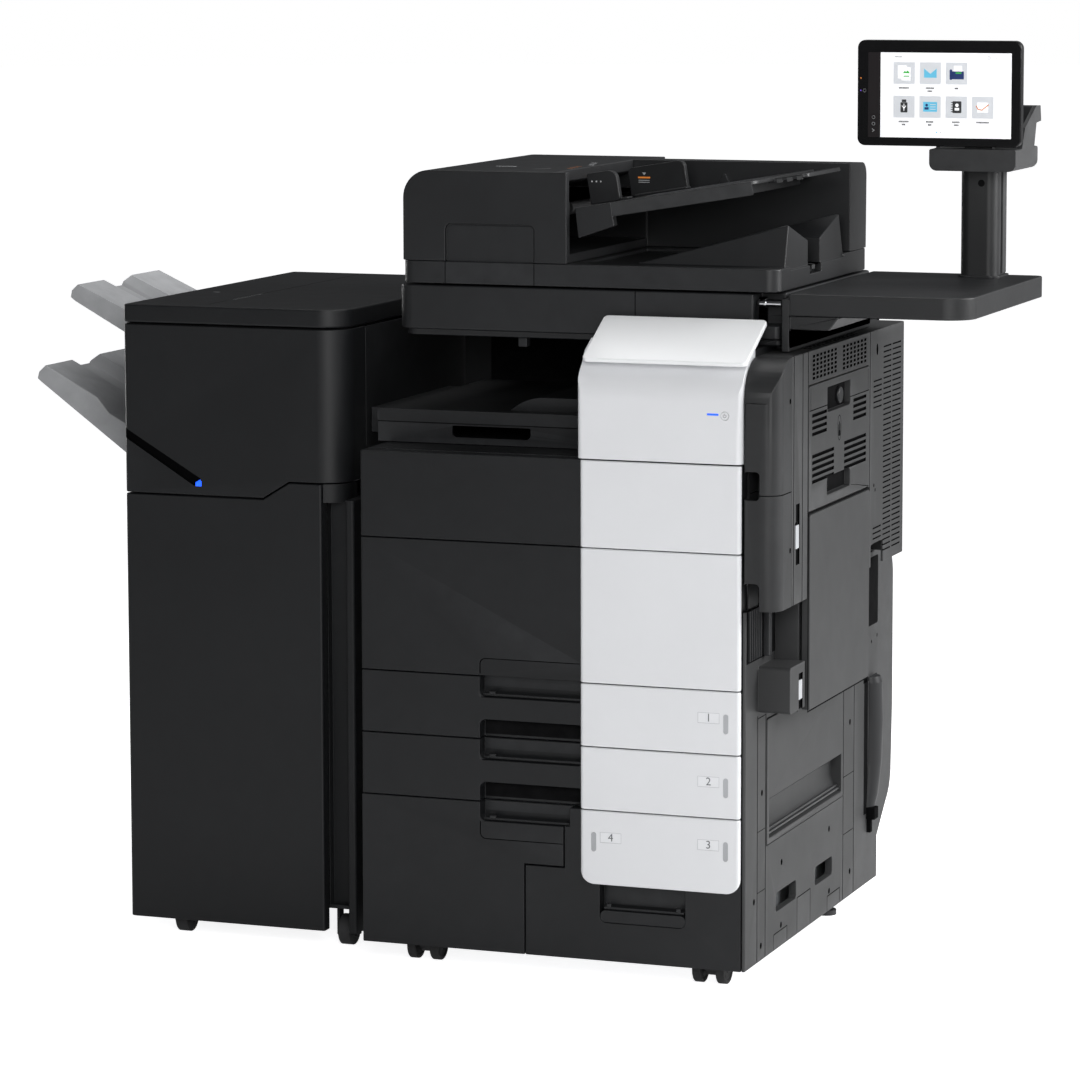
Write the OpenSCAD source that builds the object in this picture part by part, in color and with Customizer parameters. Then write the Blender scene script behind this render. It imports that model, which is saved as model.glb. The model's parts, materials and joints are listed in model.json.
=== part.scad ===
// Production photocopier: main body with paper drawers, document feeder, side work table
// with a touch screen, and a finisher with two exit trays on its left.
// Millimetres, +Z up. Every module is laid out from the main body's left front bottom corner
// and then moved so that the whole machine stands centred on the origin.

/* [Main body] */
// Width of the main body across its front
body_w = 615; // [605:1:625]
// Depth of the main body from its doors to its back
body_d = 714; // [704:1:724]
// Height of the lower edge of the covers above the floor
skirt_z = 34; // [30:1:36]
// Height of the top edge of the toner door
body_top_z = 793; // [790:1:796]
// Thickness of doors and drawer fronts
front_t = 26; // [24:1:27]

/* [White column] */
// Left edge of the white column
column_x = 358; // [355:1:362]
// How far the white panels stand in front of the doors
column_proud = 7; // [6:0.5:8]
// Corner radius of the white panels
column_r = 6; // [4:0.5:6]
// Slope of the white top plate in degrees
plate_slope = 28; // [26:1:30]

/* [Scanner and feeder] */
// How far the scanner and the exit cavity are set back from the doors
upper_y = 108; // [106:1:112]
// Underside of the scanner
scanner_z = 959; // [957:1:960]
// Height of the scanner glass
glass_z = 1036; // [1035:1:1040]
// Top of the document feeder
feeder_top_z = 1211; // [1205:1:1216]
// Rear face of the feeder
feeder_back_y = 575; // [572:1:580]

/* [Work table] */
// Right edge of the work table
table_right = 919; // [910:1:930]
// Corner radius at the table's outer front corner
table_r = 43; // [30:1:45]
// Table slab thickness
table_t = 33; // [30:1:34]

/* [Touch screen] */
// Width of the touch screen housing
monitor_w = 259; // [250:1:262]
// Height of the touch screen housing
monitor_h = 162; // [155:1:165]

/* [Finisher] */
// Left side of the finisher
fin_left = -421; // [-425:1:-418]
// Front of the finisher behind the doors' plane
fin_y = 62; // [60:1:64]
// Depth of the finisher
fin_d = 664; // [655:1:668]
// Top of the finisher
fin_top_z = 997; // [992:1:999]
// Radius of the finisher's inner front corner
fin_r = 45; // [35:1:45]
// Reach of the lower exit tray beyond the finisher
lower_reach = 239; // [232:1:245]

/* [Wheels] */
// Radius of the caster wheels
wheel_r = 24; // [22:0.5:24]
// Width of one caster wheel
wheel_w = 14; // [12:1:15]
// Clearance of shafts in their bores, on the radius
shaft_gap = 0.05; // [0.03:0.01:0.08]

/* [Hidden] */
$fn = 64;

// Colours
black = "#2b2c2f";
dark_grey = "#3a3b3e";
white = "#dcdde0";
tray_grey = "#6f7174";
steel = "#a9adb2";
rubber = "#222222";

// The whole machine's box, from which the origin is worked out
duct_y = 815;
box_x = [fin_left - lower_reach, table_right];
box_y = [-column_proud, duct_y];
origin_shift = [-(box_x[0] + box_x[1]) / 2, -(box_y[0] + box_y[1]) / 2, 0];

// Heights of the seams between the fronts, from the floor up
seam_z = [skirt_z, 265, 361, 457, 661, body_top_z];
seam_gap = 1.5;
panel_x = [2, body_w - 6];
engine_y = [50, 56];
engine_back_y = [600, 606];
frame_back_y = 690;
frame_x = [8, 590];
sheet = 3;
base_z = 58;
deck_z = [base_z, 261.5, 359.5, 459.5, 780];

// Right side
side_x = 665;
cover_z = [577, 949];
door_y = [149, 474];
door_z = [706, 898];
bypass_z = [405, 704];
power_xz = [584, 866];
lower_door_y = [106, 512];
lower_door_z = [204, 399];

// Scanner, feeder and their places
scan_x = [20, 630];
scan_back_y = 600;
cavity_left = -44;
feeder_x = [28, 630];
feeder_base_z = [glass_z + 3, 1073];
head_right = 296;
rear_wall_y = 482;
cover_right = head_right - 22;
feeder_hinge = [568, glass_z + 12];
pickup_xz = [256, 1150];
head_r = 42;
head_arc = [feeder_x[0] + 3 + head_r, feeder_top_z - head_r];

// Work table, post and screen
table_x = 643;
table_y = [118, 568];
table_z = glass_z + 1;
hanger_x = [631.5, 644];
post_x = [801, 860];
post_y = [497, 562];
post_top_z = 1204;
monitor_x = 653;
monitor_y = [440, 462];
monitor_z = 1241.5;
tilt_axis = [474, 1257.5];
bracket_x = [769, 905];
button_y = [446.3, 451.7];

// Finisher
fin_right = -50;
fin_back = fin_y + fin_d;
fin_skirt_z = 28;
fin_cover_z = [703, 966];
fin_door_right = -88;
tray_y = [240, 545];

// Casters
axle_r = 4;
stem_r = 5;
caster_x = [85, 546];
caster_y = 82;
caster_trail = 22;
rear_axle_y = 640;
fin_wheel_x = [-344, -66];
fin_axle_y = 108;
wheel_offset = 18.5;

// Shaft radius and the centres (x, z) of the turning engine parts
engine_shaft_r = 8;
drum_xz = [330, 600];
drum_r = 42;
fuser_xz = [505, 700];
fuser_r = 28;
toner_xz = [190, 712];
toner_r = 46;

// ---------- shared shapes ----------

// Box between two corners
module block(lo, hi) {
    translate(lo) cube(hi - lo);
}

// Rectangle with its own radius at each corner: near left, near right, far right, far left
module corner_rect(size, radii) {
    corners = [[0, 0], [size[0], 0], size, [0, size[1]]];
    difference() {
        square(size);
        for (i = [0:3]) {
            if (radii[i] > 0) {
                translate(corners[i]) rotate(90 * i) difference() {
                    translate([-1, -1]) square(radii[i] + 1);
                    translate([radii[i], radii[i]]) circle(r = radii[i]);
                }
            }
        }
    }
}

// Upright slab with rounded vertical edges
module upright(x, y, z, radii) {
    translate([x[0], y[0], z[0]]) linear_extrude(z[1] - z[0])
        corner_rect([x[1] - x[0], y[1] - y[0]], radii);
}

// Panel facing the front, with rounded corners in its face: bottom left, bottom right, top right, top left
module front_panel(x, y, z, radii) {
    translate([x[0], y[1], z[0]]) rotate([90, 0, 0]) linear_extrude(y[1] - y[0])
        corner_rect([x[1] - x[0], z[1] - z[0]], radii);
}

// Panel facing right, with rounded corners in its face: bottom front, bottom rear, top rear, top front
module side_panel(x, y, z, radii) {
    translate([x[0], y[0], z[0]]) rotate([90, 0, 90]) linear_extrude(x[1] - x[0])
        corner_rect([y[1] - y[0], z[1] - z[0]], radii);
}

// Child outline (y, z) drawn out along X
module along_x(x) {
    translate([x[0], 0, 0]) rotate([90, 0, 90]) linear_extrude(x[1] - x[0]) children();
}

// Child outline (x, z) drawn out along Y
module along_y(y) {
    translate([0, y[1], 0]) rotate([90, 0, 0]) linear_extrude(y[1] - y[0]) children();
}

// Round bar along X
module bar_x(x, yz, r) {
    translate([x[0], yz[0], yz[1]]) rotate([0, 90, 0]) cylinder(r = r, h = x[1] - x[0]);
}

// Round bar along Y
module bar_y(y, xz, r) {
    translate([xz[0], y[0], xz[1]]) rotate([-90, 0, 0]) cylinder(r = r, h = y[1] - y[0]);
}

// Points of an arc in the plane
function arc(c, r, a0, a1, n = 12) =
    [for (i = [0:n]) c + r * [cos(a0 + (a1 - a0) * i / n), sin(a0 + (a1 - a0) * i / n)]];

module placed() {
    translate(origin_shift) children();
}

// ---------- main body ----------

// Deck plate between the frame's side walls
module deck(z) {
    block([frame_x[0], 32, z], [frame_x[1], frame_back_y, z + 2]);
}

// Bracket blade that holds a wheel's axle, drawn around the swivel axis
module caster_blade() {
    along_x([-9, 9]) difference() {
        union() {
            polygon([[-34, 36], [-34, 46.5], [12, 46.5], [12, 40], [-12, 16], [-22, 12], [-33, 20]]);
            translate([-caster_trail, wheel_r]) circle(r = 12);
        }
        translate([-caster_trail, wheel_r]) circle(r = axle_r + shaft_gap);
    }
}

// Two wheels on one axle, centred on the caster's middle plane
module twin_wheels() {
    for (s = [-1, 1]) {
        translate([s * wheel_offset, 0, 0]) rotate([0, 90, 0]) difference() {
            cylinder(r = wheel_r, h = wheel_w, center = true);
            for (e = [-1, 1]) {
                translate([0, 0, e * wheel_w / 2]) difference() {
                    cylinder(r = wheel_r - 6, h = 3, center = true);
                    cylinder(r = axle_r + 3, h = 3, center = true);
                }
            }
        }
    }
    bar_x([-wheel_offset - wheel_w / 2, wheel_offset + wheel_w / 2], [0, 0], axle_r);
}

// Levelling foot: a disc on the floor and its threaded stem
module levelling_foot(x, y, top) {
    translate([x, y, 0]) cylinder(r = 16, h = 8);
    translate([x, y, 0]) cylinder(r = 6, h = top);
}

module main_frame() {
    color(steel) placed() {
        difference() {
            union() {
                block([frame_x[0], 32, base_z], [602, frame_back_y, base_z + 4]);
                for (z = [deck_z[1], deck_z[2], deck_z[3], deck_z[4]]) {
                    deck(z);
                }
                block([frame_x[0], 32, base_z], [frame_x[0] + 3, frame_back_y, deck_z[4] + 2]);
                block([frame_x[1] - 3, 32, base_z], [frame_x[1], frame_back_y, deck_z[4] + 2]);
                block([frame_x[0], frame_back_y - 3, base_z], [frame_x[1], frame_back_y, deck_z[4] + 2]);
                block([300, 32, base_z], [303, frame_back_y, deck_z[1] + 1]);
                block([frame_x[0], engine_y[0], deck_z[3]], [frame_x[1], engine_y[1], deck_z[4] + 2]);
                block([frame_x[0], engine_back_y[0], deck_z[3]],
                    [frame_x[1], engine_back_y[1], deck_z[4] + 2]);
                for (x = caster_x) {
                    translate([x, caster_y, 50]) cylinder(r = 15, h = base_z - 50 + 1);
                    translate([x, rear_axle_y + caster_trail, 0]) caster_blade();
                    translate([x, rear_axle_y + caster_trail, 45]) cylinder(r = 12, h = base_z - 44);
                }
            }
            for (c = [drum_xz, fuser_xz, toner_xz]) {
                bar_y([engine_y[0] - 1, engine_back_y[1] + 1], c, engine_shaft_r + shaft_gap);
            }
            for (x = caster_x) {
                translate([x, caster_y, 40]) cylinder(r = stem_r + shaft_gap, h = 17);
            }
        }
        levelling_foot(53, 150, base_z + 1);
        levelling_foot(512, 150, base_z + 1);
        levelling_foot(40, 560, base_z + 1);
        levelling_foot(575, 560, base_z + 1);
    }
}

module rear_cover() {
    color(black) placed() {
        difference() {
            upright([0, body_w - 1], [28, body_d], [skirt_z, cover_z[1]], [0, 0, 6, 6]);
            block([sheet, 27, skirt_z - 1], [body_w, body_d - sheet, cover_z[1] + 1]);
            block([-1, 27, 785], [10, body_d - 8, cover_z[1] + 1]);
            for (i = [0:13]) {
                block([120 + i * 16, body_d - 5, 640], [128 + i * 16, body_d + 1, 720]);
            }
        }
        // air duct that bulges from the back
        difference() {
            along_x([80, body_w - 5]) duct_outline(0);
            along_x([84, body_w - 9]) duct_outline(4);
        }
    }
}

// Outline (y, z) of the duct behind the machine, shrunk by a wall thickness
module duct_outline(wall) {
    polygon(concat([[body_d - 1 + wall, 86 + wall * 1.6]],
        arc([745, 200], duct_y - 745 - 6 - wall, -58, -4),
        [[duct_y - wall, 300], [duct_y - wall, 440]],
        arc([duct_y - 60, 520], 60 - wall, 0, 80),
        [[body_d - 1 + wall, 580 - wall]]));
}

module right_front_cover() {
    color(black) placed() difference() {
        intersection() {
            upright([611, side_x], [1, 66], cover_z, [3, 24, 0, 0]);
            along_x([600, 700]) polygon(concat([[0, 500], [1, 885]],
                arc([66, 885], 64, 180, 90), [[80, 949], [80, 500]]));
        }
        upright([614, side_x - 4], [6, 70], [cover_z[0] - 1, 860], [2, 20, 0, 0]);
        for (z = [[742, 784], [569, 618]]) {
            front_panel([610, 635], [-1, 20], z, [6, 6, 6, 6]);
        }
    }
}

module right_rear_cover() {
    color(dark_grey) placed() difference() {
        upright([611, side_x], [67, 682], cover_z, [0, 0, 10, 0]);
        block([610, 66, cover_z[0] - 1], [side_x - 4, 678, cover_z[1] - 4]);
        side_panel([side_x - 20, side_x + 1], door_y, [door_z[0] - 300, door_z[1]], [0, 0, 6, 6]);
        // opening behind the bypass tray
        side_panel([side_x - 20, side_x + 1], [490, 560], [540, 612], [0, 0, 4, 4]);
        // pocket for the toner waste latch
        side_panel([side_x - 20, side_x + 1], [84, 104], [660, 700], [3, 3, 3, 3]);
    }
}

module right_lower_cover() {
    color(dark_grey) placed() {
        difference() {
            union() {
                upright([610.5, body_w], [0.5, 40], [skirt_z, cover_z[0] - 2], [0, 4, 0, 0]);
                block([603, 27.5, skirt_z], [body_w, body_d - 4, cover_z[0] - 2]);
                // bypass mount and connector block
                block([body_w - 1, 146, bypass_z[0]], [652, 476, cover_z[0] - 2]);
                block([640, 150.5, bypass_z[0]], [652, 472.5, bypass_z[1] - 1]);
                side_panel([body_w - 1, side_x], [62, 137], [415, 485], [6, 0, 0, 6]);
            }
            side_panel([602, body_w + 1], lower_door_y, lower_door_z, [4, 4, 4, 4]);
            // hand holds for lifting
            side_panel([602, body_w + 1], [157, 261], [92, 121], [6, 6, 6, 6]);
            side_panel([602, body_w + 1], [362, 455], [90, 119], [6, 6, 6, 6]);
            // recess that the bypass unit is folded into
            block([620, 160, bypass_z[0] + 12], [653, 462, bypass_z[1] - 140]);
        }
    }
}

module exit_housing() {
    color(black) placed() difference() {
        union() {
            block([3.5, 29, 785], [610, body_d - sheet - 1, body_top_z]);
            upright([420, 610], [61, 600], [785, scanner_z - 0.5], [0, 0, 0, 0]);
            block([8, 560, 785], [610, body_d - sheet - 1, scanner_z - 10]);
            block([cavity_left, 560, 785], [610, 600, scanner_z - 0.5]);
        }
        block([424, 65, 796], [606, 640, scanner_z - 6]);
        block([12, 566, 796], [606, body_d - 10, scanner_z - 16]);
        // paper exit from the fuser into the cavity
        block([400, 200, 850], [430, 520, 880]);
    }
}

module relay_unit() {
    color(dark_grey) placed() difference() {
        union() {
            block([-12, upper_y, body_top_z + 1], [418, 556, 826]);
            front_panel([-12, 418], [upper_y - 3, 556], [826, 845], [4, 0, 0, 8]);
            block([-48, 170, 800], [-11, 500, 838]);
            // raised guide over the paper path
            along_y([upper_y + 30, 556]) polygon(concat(
                arc([250, 782], 84, 130, 90), [[418, 866], [418, 840], [190, 840]]));
        }
        block([0, upper_y + 4, 797], [410, 548, 822]);
        front_panel([110, 238], [upper_y - 4, upper_y + 20], [804, 822], [8, 8, 3, 3]);
    }
}

// Outline (y, z) of the white panel that curves back under the top plate
function upper_profile(inset) = concat([[-column_proud + inset, body_top_z + seam_gap]],
    arc([62 - column_proud, 885], 62 - inset, 180, 128, 10));

module white_upper_panel() {
    color(white) placed() difference() {
        intersection() {
            upright([353, 610], [-column_proud, 60], [body_top_z + seam_gap, 970], [10, 10, 0, 0]);
            along_x([300, 700]) polygon(concat(upper_profile(0),
                [[30, 953], [60, 969], [60, body_top_z + seam_gap]]));
        }
        difference() {
            block([357, -column_proud - 10, body_top_z], [606, 61, 971]);
            along_x([300, 700]) polygon(concat([[-column_proud - 12, body_top_z]], upper_profile(5),
                [[40, 990], [-column_proud - 12, 990]]));
        }
        bar_y([-column_proud - 1, 1], power_xz, 6.4);
    }
}

module top_plate() {
    color(white) placed() translate([361, -column_proud + 3.6, 938]) rotate([plate_slope, 0, 0])
        linear_extrude(7.5) corner_rect([256, 118], [8, 8, 8, 8]);
}

module power_key() {
    color(dark_grey) placed() bar_y([-column_proud + 0.3, 3], power_xz, 6);
}

// ---------- doors and drawers ----------

// Flat hollow front between two seams, as wide as the body
module hollow_front(z) {
    difference() {
        upright(panel_x, [0, front_t], [z[0] + seam_gap / 2, z[1] - seam_gap / 2], [4, 0, 0, 0]);
        block([panel_x[0] + 8, 4, z[0] + 8], [panel_x[1] - 8, front_t + 1, z[1] - 8]);
    }
}

// White panel in front of a door or drawer
module white_trim(z, radii) {
    intersection() {
        upright([column_x, panel_x[1]], [-column_proud, 0], z, [column_r, column_r, 0, 0]);
        front_panel([column_x, panel_x[1]], [-column_proud - 1, 1], z, radii);
    }
}

module toner_door() {
    color(black) placed() hollow_front([seam_z[4], seam_z[5]]);
}

module toner_door_trim() {
    color(white) placed()
        white_trim([seam_z[4] + seam_gap / 2, seam_z[5] - seam_gap / 2], [2, 2, 2, 2]);
}

module front_door() {
    color(black) placed() difference() {
        hollow_front([seam_z[3], seam_z[4]]);
        // shallow flap line over the first tray's grip
        front_panel([195, column_x + 1], [-1, 1.2], [seam_z[3] - 1, 484], [0, 0, 0, 8]);
    }
}

module front_door_trim() {
    color(white) placed()
        white_trim([seam_z[3] + seam_gap / 2, seam_z[4] - seam_gap / 2], [2, 2, 2, 2]);
}

// Finger recess of a drawer front; the bar left between two of them is the handle
module grip_recess(x, z) {
    front_panel(x, [-1, 21], z, [5, 5, 5, 5]);
}

// Front of a full-width paper tray with its handle bar
module tray_front(z) {
    difference() {
        upright(panel_x, [0, front_t], [z[0] + seam_gap / 2, z[1] - seam_gap / 2], [4, 0, 0, 0]);
        grip_recess([195, column_x], [z[1] - 32, z[1] + 6]);
        grip_recess([195, column_x], [z[0] - 6, z[0] + 30]);
    }
}

// Open-topped box of a drawer
module drawer_box(x, y, z, wall = 3) {
    difference() {
        block([x[0], y[0], z[0]], [x[1], y[1], z[1]]);
        block([x[0] + wall, y[0] + wall, z[0] + wall], [x[1] - wall, y[1] - wall, z[1] + 1]);
    }
}

// Plate that lifts the paper, hinged on its left edge
module lift_plate(z) {
    difference() {
        union() {
            block([66, 60, z], [560, 480, z + 2]);
            bar_y([60, 480], [66, z + 4], 4);
        }
        // cut-outs for the side guides
        block([200, 59, z - 1], [300, 120, z + 3]);
        block([200, 420, z - 1], [300, 481, z + 3]);
    }
}

module tray_1_front() {
    color(black) placed() tray_front([seam_z[2], seam_z[3]]);
}

module tray_1_trim() {
    color(white) placed()
        white_trim([seam_z[2] + seam_gap / 2, seam_z[3] - seam_gap / 2], [2, 2, 2, 2]);
}

module tray_1_box() {
    color(dark_grey) placed() drawer_box([16, 582], [front_t, 640], [seam_z[2] + 2.5, seam_z[2] + 88]);
}

module tray_1_lift_plate() {
    color(steel) placed() lift_plate(seam_z[2] + 8);
}

module tray_2_front() {
    color(black) placed() tray_front([seam_z[1], seam_z[2]]);
}

module tray_2_trim() {
    color(white) placed()
        white_trim([seam_z[1] + seam_gap / 2, seam_z[2] - seam_gap / 2], [2, 2, 2, 2]);
}

module tray_2_box() {
    color(dark_grey) placed() drawer_box([16, 582], [front_t, 640], [seam_z[1] + 2.5, seam_z[1] + 86]);
}

module tray_2_lift_plate() {
    color(steel) placed() lift_plate(seam_z[1] + 8);
}

// Steps of the seam between the two lower drawers, from the floor up
step_x = [267, 330, 338];
step_z = [174, 238];

module left_drawer_front() {
    color(black) placed() difference() {
        along_y([0, front_t]) polygon([[2, skirt_z], [step_x[0] - 1, skirt_z], [step_x[0] - 1, step_z[0]],
            [step_x[1] - 1, step_z[0]], [step_x[1] - 1, step_z[1]], [step_x[2] - 1, step_z[1]],
            [step_x[2] - 1, seam_z[1] - seam_gap / 2], [2, seam_z[1] - seam_gap / 2]]);
        grip_recess([195, step_x[2]], [235, seam_z[1] + 6]);
    }
}

module left_drawer_box() {
    color(dark_grey) placed() drawer_box([16, 262], [front_t, 640], [66, 225]);
}

module right_drawer_front() {
    color(black) placed() difference() {
        along_y([0, front_t]) polygon([[step_x[0] + 1, skirt_z], [panel_x[1], skirt_z],
            [panel_x[1], seam_z[1] - seam_gap / 2], [step_x[2] + 1, seam_z[1] - seam_gap / 2],
            [step_x[2] + 1, step_z[1] - 2], [step_x[1] + 1, step_z[1] - 2], [step_x[1] + 1, step_z[0] - 2],
            [step_x[0] + 1, step_z[0] - 2]]);
        front_panel([387, 522], [-1, 21], [93, 160], [10, 10, 0, 0]);
    }
}

module right_drawer_trim() {
    color(white) placed() white_trim([152, seam_z[1] - seam_gap / 2], [22, 22, 2, 2]);
}

module right_drawer_box() {
    color(dark_grey) placed() drawer_box([342, 582], [front_t, 640], [66, 225]);
}

// ---------- right side doors ----------

module right_door() {
    color(dark_grey) placed() difference() {
        side_panel([650, 666], [door_y[0] + 1.5, door_y[1] - 1.5], [door_z[0] + 1.5, door_z[1] - 1.5],
            [3, 3, 5, 5]);
        block([649, door_y[0] + 8, door_z[0] + 10], [655, door_y[1] - 8, door_z[1] - 8]);
        // pull recess and the lower finger recess
        side_panel([656, 667], [245, 369], [848, 886], [8, 8, 3, 3]);
        side_panel([656, 667], [245, 369], [722, 750], [4, 4, 8, 8]);
    }
}

module bypass_tray() {
    color(dark_grey) placed() difference() {
        side_panel([655, 668], [151, 472], [bypass_z[0] + 2, bypass_z[1] - 1], [4, 4, 6, 6]);
        block([654, 160, bypass_z[0] + 22], [660, 463, bypass_z[1] - 10]);
    }
}

module lower_right_door() {
    color(dark_grey) placed() difference() {
        side_panel([594, body_w + 1], [lower_door_y[0] + 1.5, lower_door_y[1] - 1.5],
            [lower_door_z[0] + 1.5, lower_door_z[1] - 1.5], [3, 3, 3, 3]);
        block([593, lower_door_y[0] + 8, 285], [609, lower_door_y[1] - 8, lower_door_z[1] - 8]);
        // sloped hand pocket along the lower half
        along_y([lower_door_y[0] + 12, lower_door_y[1] - 12])
            polygon([[617, 214], [606, 216], [597.5, 240], [597.5, 262], [617, 276]]);
    }
}

// ---------- engine ----------

// Roller with its shaft held in the two engine plates
module engine_roller(c, r, y) {
    bar_y(y, c, r);
    bar_y([engine_y[0] - 6, engine_back_y[1] + 4], c, engine_shaft_r);
}

module photoconductor_drum() {
    color("#2e7d5b") placed() engine_roller(drum_xz, drum_r, [100, 560]);
}

module fuser_roller() {
    color("#8a4b2f") placed() engine_roller(fuser_xz, fuser_r, [110, 550]);
}

module toner_bottle() {
    color(dark_grey) placed() {
        engine_roller(toner_xz, toner_r, [80, 470]);
        bar_y([469, 500], toner_xz, 26);
    }
}

// ---------- scanner ----------

module scanner_housing() {
    color(black) placed() difference() {
        union() {
            upright(scan_x, [upper_y, scan_back_y], [scanner_z + 10, glass_z], [26, 6, 10, 10]);
            upright([scan_x[0] + 8, scan_x[1]], [upper_y + 8, scan_back_y - 8], [scanner_z, scanner_z + 11],
                [22, 6, 10, 10]);
        }
        // room for the carriage, the reading window and the feeder's reading slit
        block([70, 140, scanner_z + 6], [600, 560, glass_z - 8]);
        block([105, 155, glass_z - 9], [575, 480, glass_z + 1]);
        block([100, 150, glass_z - 4], [580, 485, glass_z + 1]);
        block([76, 165, glass_z - 9], [88, 470, glass_z + 1]);
        // corner cut back for the table's hinge pin
        block([591, upper_y - 1, scanner_z + 30], [632, upper_y + 40, glass_z + 1]);
    }
}

module platen_glass() {
    color("#9fc4cc", 0.4) placed() block([100.3, 150.3, glass_z - 4], [579.7, 484.7, glass_z]);
}

module scanner_carriage() {
    color(dark_grey) placed() {
        block([115, 146, scanner_z + 7], [165, 554, glass_z - 40]);
        block([130, 160, glass_z - 40], [146, 540, glass_z - 14]);
    }
}

// ---------- document feeder ----------

module adf_base() {
    color(black) placed() {
        difference() {
            upright(feeder_x, [upper_y, feeder_back_y], feeder_base_z, [20, 20, 10, 10]);
            block([head_right + 10, upper_y + 60, feeder_base_z[1] - 5],
                [feeder_x[1] + 1, rear_wall_y - 30, feeder_base_z[1] + 1]);
            block([feeder_x[1] - 14, 270, feeder_base_z[1] - 18],
                [feeder_x[1] + 1, 330, feeder_base_z[1] + 1]);
        }
        // white pad that presses the page on the glass
        block([104, 154, glass_z + 0.4], [576, 481, feeder_base_z[0] + 1]);
        output_fin([148, 168, 268]);
        output_fin([456, 432, 331]);
    }
}

// Wedge that carries the pages in the output tray, between an outer foot, a ridge and an inner edge
module output_fin(y) {
    ridge_top = 1135;
    inner_top = 1106;
    left = 396;
    right = feeder_x[1] - 3;
    base = feeder_base_z[1] - 6;
    intersection() {
        along_x([left, right]) polygon([[y[0], base], [y[1], ridge_top], [y[2], inner_top], [y[2], base]]);
        along_y([140, 470]) polygon([[left, base], [right, base], [right, ridge_top + 1], [left, base + 7]]);
    }
}

module adf_body() {
    color(black) placed() {
        difference() {
            along_y([upper_y + 0.5, feeder_back_y - 2]) polygon(concat(
                [[feeder_x[0] + 3, feeder_base_z[1] + 0.5]],
                arc(head_arc, head_r, 180, 90),
                [[head_right, feeder_top_z], [head_right, feeder_base_z[1] + 0.5]]));
            // room for the feed path, open at the top under the feed cover
            block([60, 124, feeder_base_z[1] + 14], [head_right + 1, rear_wall_y - 2, feeder_top_z + 1]);
            block([feeder_x[0] - 1, 122, 1166], [head_right + 1, rear_wall_y, feeder_top_z + 1]);
            // bearings of the pick-up roller
            bar_y([118, rear_wall_y + 4], pickup_xz, axle_r + shaft_gap);
            // recess in the front of the head
            front_panel([100, 244], [upper_y - 1, upper_y + 6],
                [feeder_base_z[1] - 1, 1131], [0, 0, 10, 10]);
        }
        // rear wall
        difference() {
            along_x([head_right - 1, feeder_x[1]]) polygon(concat(
                [[rear_wall_y, feeder_base_z[1] + 0.5], [rear_wall_y, feeder_top_z]],
                arc([feeder_back_y - 22, feeder_top_z - 24], 22, 90, 0),
                [[feeder_back_y - 2, feeder_base_z[1] + 0.5]]));
            block([head_right + 20, rear_wall_y + 5, feeder_base_z[1]],
                [feeder_x[1] - 5, feeder_back_y - 8, feeder_top_z - 8]);
        }
    }
}

module adf_feed_cover() {
    color(black) placed() difference() {
        along_y([124, rear_wall_y - 2]) polygon(concat(
            [[feeder_x[0] + 3, 1167.5]],
            arc(head_arc, head_r, 176, 90),
            [[cover_right, feeder_top_z], [cover_right, 1194], [cover_right - 12, 1188],
            [feeder_x[0] + 60, 1188], [feeder_x[0] + 46, 1167.5]]));
        block([90, 140, 1180], [cover_right - 14, 460, feeder_top_z - 10]);
    }
}

module adf_pickup_roller() {
    color(rubber) placed() {
        bar_y([220, 380], pickup_xz, 11);
        bar_y([119, rear_wall_y + 3], pickup_xz, axle_r);
    }
}

// Slope of the document tray, and the edge it starts from (x, z)
tray_slope = 9.3;
tray_pivot = [head_right + 14, 1133.8];
doc_y = [136, 464];

// Children are drawn flat from the tray's pivot and then sloped
module on_tray() {
    translate([tray_pivot[0], 0, tray_pivot[1]]) rotate([0, -tray_slope, 0]) children();
}

module document_tray() {
    color(dark_grey) placed() difference() {
        on_tray() {
            upright([0, 280], doc_y, [18, 24], [4, 24, 24, 4]);
            upright([0, 250], [doc_y[0] + 2, doc_y[1]], [4, 20], [4, 4, 4, 4]);
            upright([270, 334], [235, 413], [16, 22], [0, 10, 10, 0]);
            along_y([doc_y[0] - 2, doc_y[0] + 14]) polygon([[-8, -22], [52, -12], [52, 24], [-6, 24]]);
            along_y([doc_y[0] + 10, doc_y[1]]) polygon([[-2, 0], [30, 4], [30, 20], [-2, 20]]);
        }
        on_tray() {
            block([60, 150, 3], [240, 450, 15]);
            // slot that the side guides slide in
            block([30, 150, 15], [40, 450, 25]);
        }
    }
}

module document_front_guide() {
    color(dark_grey) placed() on_tray() {
        front_panel([-2, 46], [196, 208], [24.4, 72], [2, 6, 14, 4]);
        block([10, 204, 24.4], [56, 226, 28]);
        block([32, 214, 17], [38, 222, 26]);
    }
}

module document_rear_guide() {
    color(dark_grey) placed() on_tray() {
        front_panel([-2, 92], [384, 396], [24.4, 70], [2, 4, 10, 10]);
        block([10, 366, 24.4], [96, 388, 28]);
        block([32, 370, 17], [38, 378, 26]);
    }
}

// ---------- work table and touch screen ----------

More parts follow.
